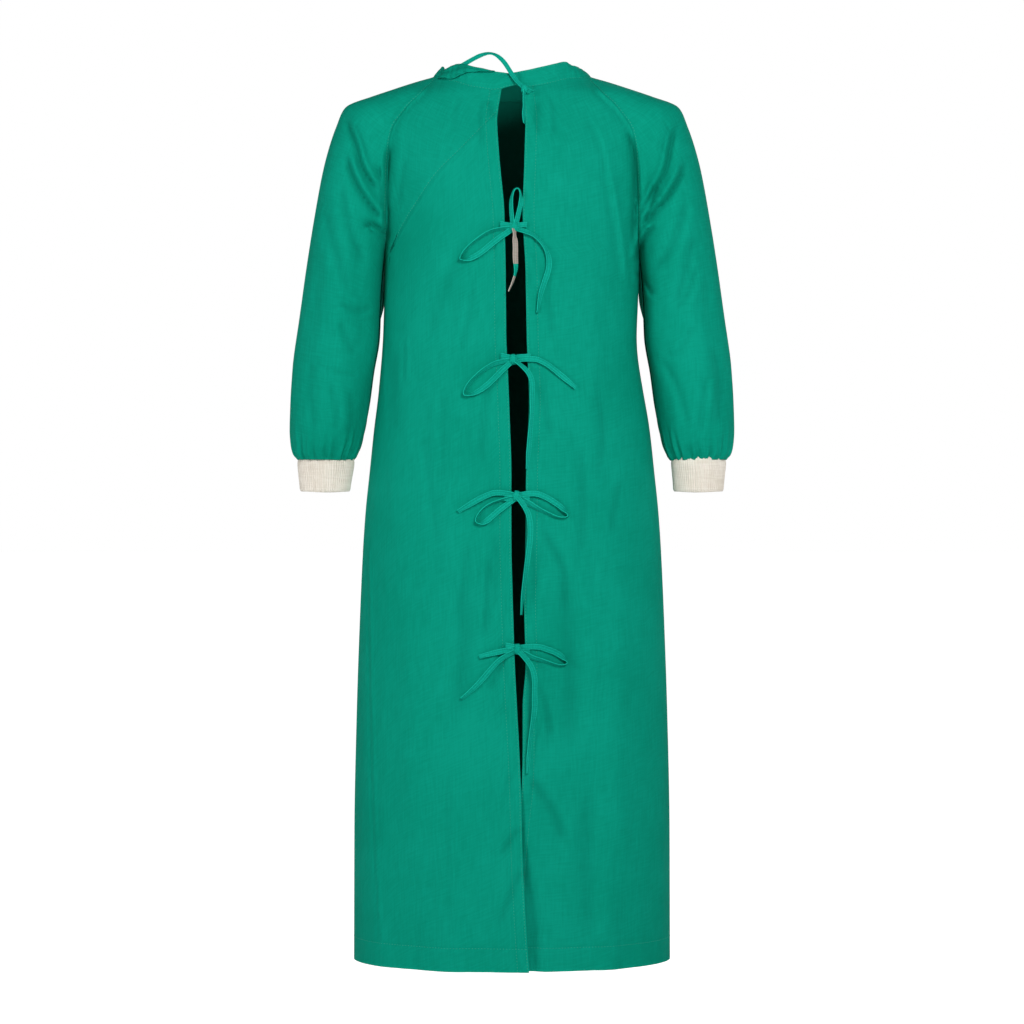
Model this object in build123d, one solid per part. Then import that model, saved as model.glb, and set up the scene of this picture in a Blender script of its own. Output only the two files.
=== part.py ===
"""Long-sleeved gown that ties at the back.

Millimetres. The origin is the middle of the neck seam, +Z is up, the open back faces -Y and the
wearer's left is -X. Each cloth piece is a thin closed solid, cut from the hollow body or sleeve.
"""
from build123d import *
from math import radians, tan
import os

# Cloth
CLOTH = 1.2
FACING_THICKNESS = 0.9
FACING_WIDTH = 18
HEM_HEIGHT = 33
SEAM_GAP = 0.1
SWING_GAP = 0.5

# Heights of the seams and the hem
NECK_Z = 4
UNDERARM_Z = -243
FLAP_Z = -1000
HEM_Z = -1267
FAR = 500

# The body of the gown: height, half width, half depth
BODY = [
    (NECK_Z, 110, 72),
    (-4, 150, 77),
    (-24, 172, 86),
    (-70, 183, 99),
    (-130, 186, 108),
    (-241, 184, 113),
    (-405, 191, 117),
    (-620, 212, 122),
    (-900, 225, 127),
    (-1100, 228, 129),
    (HEM_Z, 228, 130),
]

# The sleeve: inner side (x, z), outer side (x, z), half depth, for the wearer's left
SLEEVE = [
    ((-114, -190), (-114, 1), 74),
    ((-150, -215), (-160, -4), 80),
    ((-172, -230), (-217, -23), 83),
    ((-181, -242), (-252, -52), 80),
    ((-185, -262), (-272, -120), 72),
    ((-188, -300), (-288, -200), 66),
    ((-193, -365), (-305, -310), 63),
    ((-203, -425), (-318, -415), 60),
    ((-214, -500), (-320, -495), 55),
    ((-222, -533), (-316, -531), 44),
    ((-230, -546), (-309, -546), 30),
]

# The collar band: height, half width, half depth
COLLAR = [(NECK_Z, 110, 72), (17, 103, 68), (31, 96, 64)]
COLLAR_CLOTH = 2.0

# The rib-knit cuff: centre (x, z), half width and half depth, at its seam and at its edge
CUFF_TOP = (-269.5, -546, 39.5, 30)
CUFF_EDGE = (-270, -590, 35, 26)
CUFF_CLOTH = 2.4

# The swing of a sleeve: the shoulder point that it turns about, and the underarm point
SHOULDER_POINT = (-259, -67)
UNDERARM_POINT = (-184, UNDERARM_Z)

# Edges of the back opening, from the collar down to the hem: (x, z)
LEFT_EDGE = [(-15, 45), (-20, -60), (-11, -200), (-7, -410), (0, -640), (12, -905), (24, -1290)]
RIGHT_EDGE = [(14, 45), (18.5, -60), (15, -200), (23, -430), (19, -660), (13.5, -905), (25.5, -1290)]

# Tapes and knots
TAPE_WIDTH = 8
TAPE_THICKNESS = 1.6
KNOT = (13, 8, 15)
KNOT_ROUNDING = 2.5
STANDOFF = 0.3
STRAP_SINK = 0.2
TAIL_CLEARANCE = 0.5


def half_depth_at(z):
    """Half depth of the gown's body at height z."""
    below = next(i for i, station in enumerate(BODY) if station[0] <= z)
    (z0, _, b0), (z1, _, b1) = BODY[max(below - 1, 0)], BODY[below]
    return b0 if z0 == z1 else b0 + (b1 - b0) * (z0 - z) / (z0 - z1)


def oval(z, half_width, half_depth, inset):
    """Level oval at height z."""
    return Pos(0, 0, z) * Ellipse(half_width - inset, half_depth - inset)


def sleeve_oval(inner, outer, half_depth, inset):
    """Oval across the sleeve, from its inner side to its outer side."""
    across = Vector(outer[0] - inner[0], 0, outer[1] - inner[1])
    centre = Vector((inner[0] + outer[0]) / 2, 0, (inner[1] + outer[1]) / 2)
    plane = Plane(origin=centre, x_dir=across, z_dir=across.cross(Vector(0, 1, 0)))
    return plane * Ellipse(across.length / 2 - inset, half_depth - inset)


def hollow(solid_at, inset, thickness):
    """Wall between the shape moved in by inset and the shape moved in by a further thickness."""
    return solid_at(inset) - solid_at(inset + thickness)


def body_solid(inset):
    """The body of the gown as one solid, its wall moved in by inset."""
    return loft([oval(*station, inset) for station in BODY], ruled=True)


def sleeve_solid(inset):
    """The left sleeve, from inside the shoulder to the wrist, its wall moved in by inset."""
    return loft([sleeve_oval(*station, inset) for station in SLEEVE], ruled=True)


def region(face, front):
    """Everything in front of or behind the side seams that the outline covers."""
    start, depth = (SEAM_GAP, -FAR) if front else (-SEAM_GAP, FAR)
    return Pos(0, start, 0) * extrude(Plane.XZ * face, amount=depth)


def beside(edge, shift, side):
    """Outline of all that lies on one side (-1 is left) of an edge of the back opening."""
    line = [(x + shift, z) for x, z in edge]
    return make_face(Polyline(*line, (side * FAR, edge[-1][1]), (side * FAR, edge[0][1]), close=True))


def between(low, high):
    """Outline of a level strip."""
    return Pos(0, (low + high) / 2) * Rectangle(2 * FAR, high - low)


def body_outline():
    """Outline of the body, out to the raglan seams and the gaps between body and sleeves."""
    left = [
        Line((0, NECK_Z), (-113, NECK_Z)),
        ThreePointArc((-113, NECK_Z), (-174, -85), UNDERARM_POINT),
        Polyline(
            UNDERARM_POINT, (-190, -365), (-202, -465), (-217, -560), (-FAR, -640), (-FAR, HEM_Z), (0, HEM_Z)
        ),
        Line((0, HEM_Z), (0, NECK_Z)),
    ]
    half = make_face(left)
    return half + mirror(half, about=Plane.YZ)


def sleeve_side(swinging):
    """Solid on one side of the plane through the shoulder point and the underarm point."""
    top, foot = Vector(*SHOULDER_POINT), Vector(*UNDERARM_POINT)
    along = (top - foot).normalized()
    outward = Vector(-along.Y, along.X)
    shift = outward * (SWING_GAP / 2 if swinging else -SWING_GAP / 2)
    start, end = foot - along * FAR + shift, foot + along * FAR + shift
    away = outward * (FAR if swinging else -FAR)
    face = make_face(Polyline(*[(p.X, p.Y) for p in (start, end, end + away, start + away)], close=True))
    return extrude(Plane.XZ * face, amount=FAR, both=True)


def collar_band():
    """Stand collar, open at the back."""
    walls = [loft([oval(*station, inset) for station in COLLAR], ruled=True) for inset in (0, COLLAR_CLOTH)]
    opening = beside(LEFT_EDGE, 0, 1) & beside(RIGHT_EDGE, 0, -1)
    return walls[0] - walls[1] - region(opening, front=False)


def cuff():
    """Rib-knit tube at the left wrist."""
    walls = []
    for inset in (0, CUFF_CLOTH):
        rings = [Pos(x, 0, z) * Ellipse(w - inset, d - inset) for x, z, w, d in (CUFF_TOP, CUFF_EDGE)]
        walls.append(loft(rings))
    return walls[0] - walls[1]


def bend_radii(points):
    """The largest arc for each corner: 0.45 of the shorter run, over the tangent of half the turn."""
    radii = []
    for a, b, c in zip(points, points[1:], points[2:]):
        before, after = b - a, c - b
        turn = before.get_angle(after)
        radii.append(0.45 * min(before.length, after.length) / tan(radians(turn / 2)))
    return radii


def tape(name, points, y, lean=0):
    """Flat tape along a route of (x, z) points. Its y is that of its last point, and changes with x by lean."""
    end_x = points[-1][0]
    route = [Vector(x, y + lean * (x - end_x), z) for x, z in points]
    radii = bend_radii(route)
    path = FilletPolyline(*route, radius=radii)
    start = Plane(origin=path @ 0, x_dir=(-lean, 1, 0), z_dir=path % 0)
    solid = sweep(start * Rectangle(TAPE_THICKNESS, TAPE_WIDTH), path=path).solid()
    expected = TAPE_THICKNESS * TAPE_WIDTH * path.length
    print(f"{name}: length {path.length:.0f}, volume ratio {solid.volume / expected:.4f}")
    print("   radii", [round(r) for r in radii])
    return solid


def knot(x, y, z):
    """Soft block of a tied knot."""
    block = Pos(x, y, z) * Box(*KNOT)
    return fillet(block.edges().filter_by(Axis.Y), radius=KNOT_ROUNDING)


# Each tie: its knot (x, z), the routes of its left and right tapes, and its hanging tail.
# Straps run from the sewn edge of a panel to the knot, and loops and ends go out from the knot.
TIES = {
    "tie_1": {
        "knot": (18, -27),
        "stand_off": 8,
        "left_strap": [(-88, 0), (-62, 9), (-38, 19), (-22, 20), (-8, 8), (3, -8), (11.5, -24)],
        "left_lean": -0.425,
        "right_strap": [(36, -28.5), (30, -29.5), (24.5, -28)],
        "right_lean": 1.03,
        "tail": [(16, -36), (17.5, -50), (16.5, -64), (17.5, -78)],
    },
    "tie_2": {
        "knot": (3, -220),
        "left_strap": [(-16, -216), (-10, -215.5), (-3.5, -216)],
        "left_loops": [
            [(-1, -212.5), (-5, -197), (-5, -182), (0, -170), (11, -170), (16, -182), (14, -197), (7.5, -212.5)],
            [(-3.5, -224.5), (-22, -221), (-42, -232), (-58, -247), (-70, -261), (-70, -274), (-58, -278),
             (-45, -265), (-31, -248), (-16, -234)],
        ],
        "right_strap": [(9.5, -216), (14, -215.5), (20, -216)],
        "right_loops": [
            [(9.5, -224), (26, -229), (41, -241), (50, -257), (52, -275), (46, -296), (38, -316), (35, -340)],
        ],
        "tail": [(2, -229), (5, -246), (4.5, -263), (6, -280), (2, -296), (-5, -311)],
    },
    "tie_3": {
        "knot": (2, -406),
        "left_strap": [(-15, -402), (-10, -401.5), (-4.5, -402)],
        "left_loops": [
            [(-4.5, -410.5), (-20, -409), (-37, -418), (-52, -431), (-63, -445), (-60, -457), (-47, -456),
             (-35, -446), (-24, -432), (-14, -423)],
        ],
        "right_strap": [(8.5, -402), (15, -401.5), (25, -402)],
        "right_loops": [[(8.5, -410.5), (28, -404), (48, -412), (68, -428), (90, -445)]],
        "tail": [(6, -415), (22, -421), (29.5, -436), (28, -458), (28.5, -480), (26, -505), (24, -530), (21, -560)],
    },
    "tie_4": {
        "knot": (6, -598),
        "left_strap": [(-10, -602), (-5, -602.5), (-0.5, -602)],
        "left_loops": [
            [(-0.5, -593.5), (-20, -592), (-40, -600), (-58, -609), (-76, -620)],
            [(-6, -612), (-22, -607), (-38, -616), (-50, -630), (-49, -643), (-37, -645), (-27, -632),
             (-18, -622)],
        ],
        "right_strap": [(12.5, -602), (18, -602.5), (24, -602)],
        "right_loops": [
            [(12.5, -593.5), (30, -594), (48, -600), (64, -610), (77, -619), (80, -632), (68, -637),
             (54, -630), (38, -621), (26, -611)],
        ],
        "tail": [(9, -607), (22, -618), (26, -636), (25.5, -660), (22, -685), (19, -709), (15, -735), (13, -764)],
    },
    "tie_5": {
        "knot": (8, -813),
        "left_strap": [(-8, -809), (-3, -808.5), (1.5, -809)],
        "left_loops": [
            [(1.5, -812), (-22, -818), (-45, -824)],
            [(1.5, -818), (-13, -825), (-27, -838), (-40, -854), (-54, -869), (-71, -883)],
        ],
        "right_strap": [(14.5, -817), (19, -817.5), (24, -817)],
        "right_loops": [
            [(14.5, -808), (34, -809), (54, -815), (70, -820), (80, -831), (73, -842), (58, -841),
             (42, -835), (27, -829)],
        ],
        "tail": [(10, -822), (25, -831), (32, -848), (31.5, -872), (32, -897), (28, -922), (24, -950), (22, -987)],
    },
}


def tie(name, routes):
    """The four pieces of one tied bow, by name."""
    x, z = routes["knot"]
    back = -half_depth_at(z)
    y = back - routes.get("stand_off", STANDOFF) - KNOT[1] / 2
    pieces = {f"{name}_knot": knot(x, y, z)}
    for side in ("left", "right"):
        title = f"{name}_{side}_tape"
        lean = routes.get(f"{side}_lean", 0)
        strap = tape(title, routes[f"{side}_strap"], y if lean else back + STRAP_SINK, lean)
        loops = [tape(title, route, y) for route in routes.get(f"{side}_loops", [])]
        pieces[title] = Compound([strap, *loops])
    forward = KNOT[1] / 2 + TAPE_THICKNESS / 2 + TAIL_CLEARANCE
    pieces[f"{name}_tail"] = tape(f"{name}_tail", routes["tail"], y - forward)
    return pieces


def cloth_pieces():
    """All the panels, facings and hems, by name."""
    wall, facing_wall = hollow(body_solid, 0, CLOTH), hollow(body_solid, CLOTH, FACING_THICKNESS)
    body = body_outline()
    upper, lower = between(FLAP_Z + SWING_GAP / 2, FAR), between(HEM_Z, FLAP_Z - SWING_GAP / 2)
    above_hem, hem = between(HEM_Z + HEM_HEIGHT, FAR), between(HEM_Z, HEM_Z + HEM_HEIGHT)
    yoke_seam = ThreePointArc((60, 40), (-104, -150), (-240, -400))
    above_seam = make_face([yoke_seam, Line((-240, -400), (-FAR, 40)), Line((-FAR, 40), (60, 40))])

    left, right = body & beside(LEFT_EDGE, 0, -1), body & beside(RIGHT_EDGE, 0, 1)
    left_strip = left - beside(LEFT_EDGE, -FACING_WIDTH, -1)
    right_strip = right - beside(RIGHT_EDGE, FACING_WIDTH, 1)
    yoke = left & above_seam
    flap_seam = Pos(0, -SWING_GAP, 0)

    pieces = {
        "front_panel": wall & region(body, front=True),
        "left_back_yoke": wall & region(yoke, front=False),
        "left_back_panel": wall & region((left & upper) - above_seam, front=False),
        "right_back_panel": wall & region(right & upper, front=False),
        "left_skirt_flap": wall & (flap_seam * region(left & lower, front=False)),
        "right_skirt_flap": wall & (flap_seam * region(right & lower, front=False)),
        "left_edge_facing": facing_wall & region(left_strip & upper, front=False),
        "right_edge_facing": facing_wall & region(right_strip & upper, front=False),
        "left_flap_facing": facing_wall & region(left_strip & lower & above_hem, front=False),
        "right_flap_facing": facing_wall & region(right_strip & lower & above_hem, front=False),
        "front_hem": facing_wall & region(body & hem, front=True),
        "left_hem": facing_wall & (flap_seam * region(left & hem, front=False)),
        "right_hem": facing_wall & (flap_seam * region(right & hem, front=False)),
    }
    left_arm = hollow(sleeve_solid, 0, CLOTH) - extrude(Plane.XZ * body, amount=FAR, both=True)
    pieces["left_shoulder"] = left_arm & sleeve_side(swinging=False)
    pieces["left_sleeve"] = left_arm & sleeve_side(swinging=True)
    pieces["left_cuff"] = cuff()
    for name in ("shoulder", "sleeve", "cuff"):
        pieces[f"right_{name}"] = mirror(pieces[f"left_{name}"], about=Plane.YZ)
    pieces["neck_band"] = collar_band()
    return pieces


def main():
    os.makedirs("parts", exist_ok=True)
    pieces = cloth_pieces()
    for name, routes in TIES.items():
        pieces.update(tie(name, routes))
    for name, piece in pieces.items():
        export_step(piece, f"parts/{name}.step")


main()
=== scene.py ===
"""A long-sleeved cloth gown that ties down its open back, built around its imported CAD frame.

Lengths are millimetres until a mesh is made. Origin, axes and bodies are the frame's: +Z is up, the
open back faces -Y and the wearer's left is -X.
"""
import math

import bpy
import numpy as np
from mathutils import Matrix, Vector


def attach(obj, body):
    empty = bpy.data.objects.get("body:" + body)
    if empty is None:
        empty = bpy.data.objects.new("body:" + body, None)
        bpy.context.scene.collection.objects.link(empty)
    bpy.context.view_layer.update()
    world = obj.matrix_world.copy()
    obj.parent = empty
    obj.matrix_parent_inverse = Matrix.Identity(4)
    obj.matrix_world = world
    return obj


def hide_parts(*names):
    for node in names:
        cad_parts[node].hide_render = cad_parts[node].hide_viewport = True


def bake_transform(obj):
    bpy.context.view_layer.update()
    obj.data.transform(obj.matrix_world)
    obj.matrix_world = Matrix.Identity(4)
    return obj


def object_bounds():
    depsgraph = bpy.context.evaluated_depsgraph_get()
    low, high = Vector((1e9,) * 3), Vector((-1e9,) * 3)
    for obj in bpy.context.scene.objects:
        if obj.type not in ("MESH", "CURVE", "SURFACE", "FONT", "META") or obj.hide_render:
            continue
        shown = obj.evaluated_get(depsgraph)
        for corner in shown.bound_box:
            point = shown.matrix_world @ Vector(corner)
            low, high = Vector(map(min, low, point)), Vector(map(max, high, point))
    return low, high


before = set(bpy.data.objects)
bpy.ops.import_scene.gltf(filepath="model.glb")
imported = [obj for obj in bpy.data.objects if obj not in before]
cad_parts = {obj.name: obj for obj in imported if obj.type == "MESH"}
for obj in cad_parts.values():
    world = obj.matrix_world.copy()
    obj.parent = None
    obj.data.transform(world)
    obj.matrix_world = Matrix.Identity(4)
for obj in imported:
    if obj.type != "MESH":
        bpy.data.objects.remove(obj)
cad_low, cad_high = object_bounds()

MM = 0.001
LEFT, RIGHT = -1, 1
MIDDLE_Z = (cad_low.z + cad_high.z) / 2

# ---------------------------------------------------------------- camera
EYE_DISTANCE = 4.0
EYE_DROP = 0.0026            # metres below the middle of the part
VIEW_WIDTH = 1.4848          # metres across the picture in the plane of the side seams
SENSOR = 36.0

camera_data = bpy.data.cameras.new("camera")
camera_data.sensor_width = SENSOR
camera_data.lens = SENSOR * EYE_DISTANCE / VIEW_WIDTH
camera = bpy.data.objects.new("camera", camera_data)
bpy.context.scene.collection.objects.link(camera)
camera.location = (0, -EYE_DISTANCE, MIDDLE_Z - EYE_DROP)
camera.rotation_euler = (math.radians(90), 0, 0)
bpy.context.scene.camera = camera


# ---------------------------------------------------------------- small tools
def ease(t):
    """Smooth step from 0 to 1."""
    t = np.clip(t, 0.0, 1.0)
    return t * t * (3 - 2 * t)


def curve(pairs):
    """Smooth function through (place, value) pairs, with no overshoot."""
    pairs = sorted(pairs)
    x, y = np.array([p[0] for p in pairs], float), np.array([p[1] for p in pairs], float)
    step = np.diff(x)
    slope = np.diff(y) / step
    tangent = np.zeros_like(y)
    a, b = slope[:-1], slope[1:]
    same = a * b > 0
    tangent[1:-1][same] = 2 * a[same] * b[same] / (a[same] + b[same])
    tangent[0], tangent[-1] = slope[0], slope[-1]

    def at(q):
        q = np.clip(q, x[0], x[-1])
        i = np.clip(np.searchsorted(x, q) - 1, 0, len(step) - 1)
        t = (q - x[i]) / step[i]
        return (
            (2 * t**3 - 3 * t**2 + 1) * y[i] + (t**3 - 2 * t**2 + t) * step[i] * tangent[i]
            + (3 * t**2 - 2 * t**3) * y[i + 1] + (t**3 - t**2) * step[i] * tangent[i + 1]
        )

    return at


def ripple(x, z, across, along, seed):
    """Smooth noise from -1 to 1 whose lumps are across wide and along high."""
    table = np.random.default_rng(seed).uniform(-1, 1, (97, 97))
    fx, fz = x / across + 400.5, z / along + 400.5
    ix, iz = np.floor(fx).astype(int), np.floor(fz).astype(int)
    tx, tz = ease(fx - ix), ease(fz - iz)
    ix, iz = ix % 96, iz % 96
    low = table[ix, iz] * (1 - tx) + table[ix + 1, iz] * tx
    high = table[ix, iz + 1] * (1 - tx) + table[ix + 1, iz + 1] * tx
    return low * (1 - tz) + high * tz


def rounded(points):
    """A polyline with its corners cut twice, and the same ends."""
    line = np.array(points, float)
    for _ in range(2):
        a, b = line[:-1], line[1:]
        cut = np.stack([0.75 * a + 0.25 * b, 0.25 * a + 0.75 * b], 1).reshape(-1, line.shape[1])
        line = np.vstack([line[:1], cut, line[-1:]])
    return line


def fold(x, z, points, width, height, partner=0.0, fade=0.2):
    """One fold along a line of (x, z) points, as its relief and the painted shade at its bottom.

    It is a rounded ridge, or a valley with a sharp bottom if height is below zero. partner is the
    share of the opposite form that lies beside it, to the right of the line's direction if above
    zero. fade is the share of the length over which each end runs out.
    """
    line = rounded(points)
    reach = 4.0 * width
    near = (
        (x > line[:, 0].min() - reach) & (x < line[:, 0].max() + reach)
        & (z > line[:, 1].min() - reach) & (z < line[:, 1].max() + reach)
    )
    out, shade = np.zeros_like(x), np.zeros_like(x)
    if not near.any():
        return out, shade
    px, pz = x[near], z[near]
    best, along, side = np.full(px.shape, np.inf), np.zeros_like(px), np.ones_like(px)
    start = 0.0
    for a, b in zip(line, line[1:]):
        d = b - a
        length = math.hypot(*d)
        t = np.clip(((px - a[0]) * d[0] + (pz - a[1]) * d[1]) / length**2, 0, 1)
        ox, oz = px - a[0] - t * d[0], pz - a[1] - t * d[1]
        far = np.hypot(ox, oz)
        closer = far < best
        best = np.where(closer, far, best)
        along = np.where(closer, start + t * length, along)
        side = np.where(closer, np.where(ox * d[1] - oz * d[0] > 0, 1.0, -1.0), side)
        start += length
    run_out = fade * start
    taper = ease(along / run_out) * ease((start - along) / run_out)
    beside = best * side - math.copysign(1.8 * width, partner)
    if height < 0:
        shape = np.exp(-(np.hypot(best, 2.2) - 2.2) / (0.85 * width))
        shade[near] = taper * np.exp(-((best / (0.45 * width + 1.6)) ** 2)) * min(1.0, -height / 7)
    else:
        shape = np.exp(-((best / width) ** 2))
    shape = shape - 1.15 * abs(partner) * np.exp(-((beside / (1.2 * width)) ** 2))
    out[near] = height * taper * shape
    return out, shade


def folded(x, z, folds):
    """Relief and painted shade of a list of folds."""
    out, shade = np.zeros_like(x), np.zeros_like(x)
    for points, width, height, partner in folds:
        relief, dark = fold(x, z, points, width, height, partner)
        out += relief
        shade = np.maximum(shade, dark)
    return out, shade


# ---------------------------------------------------------------- the gown's form
HEM_Z, HEM_HEIGHT = -1267, 33
UNDERARM_Z = -243
CLOTH = 0.8                  # thickness of the visible cloth
FACING_WIDTH = 16
STITCH_DENT = 1.7            # half width of the dent along a line of stitches
FREE_Z, FREE_LENGTH = -250, 700      # where the cloth begins to hang free, and how soon it does so fully
LAP_Z, LAP_LENGTH = -960, 110        # where the left edge of the back begins to lap over the right one
WAIST_Z, WAIST_IN = -385, 6.5        # where the right side of the body is drawn in most, and by how much

# The body: height, half width, half depth
BODY = [
    (9, 113, 72), (-6, 136, 78), (-24, 184, 86), (-45, 205, 92), (-71, 212, 99), (-110, 206, 106),
    (-180, 195, 111), (UNDERARM_Z, 184, 113), (-357, 186.5, 116), (-444, 193, 118), (-502, 200, 119.5),
    (-560, 206, 121), (-618, 212, 122), (-676, 216, 123.5), (-763, 220, 125), (-908, 225, 127),
    (-1082, 228.5, 129), (HEM_Z, 229, 130),
]
half_width = curve([(z, a) for z, a, _ in BODY])
half_depth = curve([(z, b) for z, _, b in BODY])

# The raglan seam: height, and its x as a share of the half width there
raglan_share = curve([
    (9, 0.956), (-6, 0.868), (-24, 0.715), (-45, 0.741), (-71, 0.802), (-110, 0.862), (-180, 0.928),
    (UNDERARM_Z, 1.0),
])

# The edges of the back opening: height, x
EDGE = {
    LEFT: curve([
        (-15, -14), (-27, -16), (-67, -21), (-105, -19), (-140, -16), (-196, -11), (-278, -9), (-379, -8),
        (-418, -6), (-495, -3), (-562, -1), (-660, -1), (-744, 1), (-837, 4), (-895, 7), (-950, 10),
        (-1026, 13), (-1110, 15), (-1190, 19), (HEM_Z, 24),
    ]),
    RIGHT: curve([
        (-12, 13), (-27, 15), (-67, 19), (-105, 18), (-140, 17), (-196, 15), (-278, 19), (-379, 21),
        (-467, 24), (-495, 23), (-562, 20), (-660, 19), (-744, 17), (-837, 19), (-895, 15), (-950, 15),
        (-1000, 14), (-1060, 8), (-1150, 1), (HEM_Z, -1),
    ]),
}

# The neck seam: angle from the side of the neck towards the centre, height
BACK_NECK = {
    LEFT: curve([
        (0, 8), (0.27, 7), (0.6, 2), (0.93, -5), (1.2, -14), (1.35, -18), (1.43, -20), (1.52, -15),
        (1.6, -12), (1.8, -11),
    ]),
    RIGHT: curve([
        (0, 8), (0.27, 8), (0.6, 4), (0.93, -1), (1.2, -9), (1.36, -13), (1.44, -15), (1.52, -12),
        (1.6, -10), (1.8, -9),
    ]),
}
front_neck = curve([(0, 8), (0.27, 7), (0.6, 3), (1.0, -6), (1.57, -12)])

# The seam between the yoke and the left back panel: x, height
YOKE_SEAM = [
    (-19, -50), (-45, -78), (-73, -107), (-109, -143), (-138, -184), (-157, -213), (-172, -240), (-186, -262),
]
yoke_seam = curve(YOKE_SEAM)
SIDE_SEAM = [(-206, -640), (-203, -760), (-201, -841), (-197, -1025), (-188, -1202), (-184, HEM_Z)]

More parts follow.
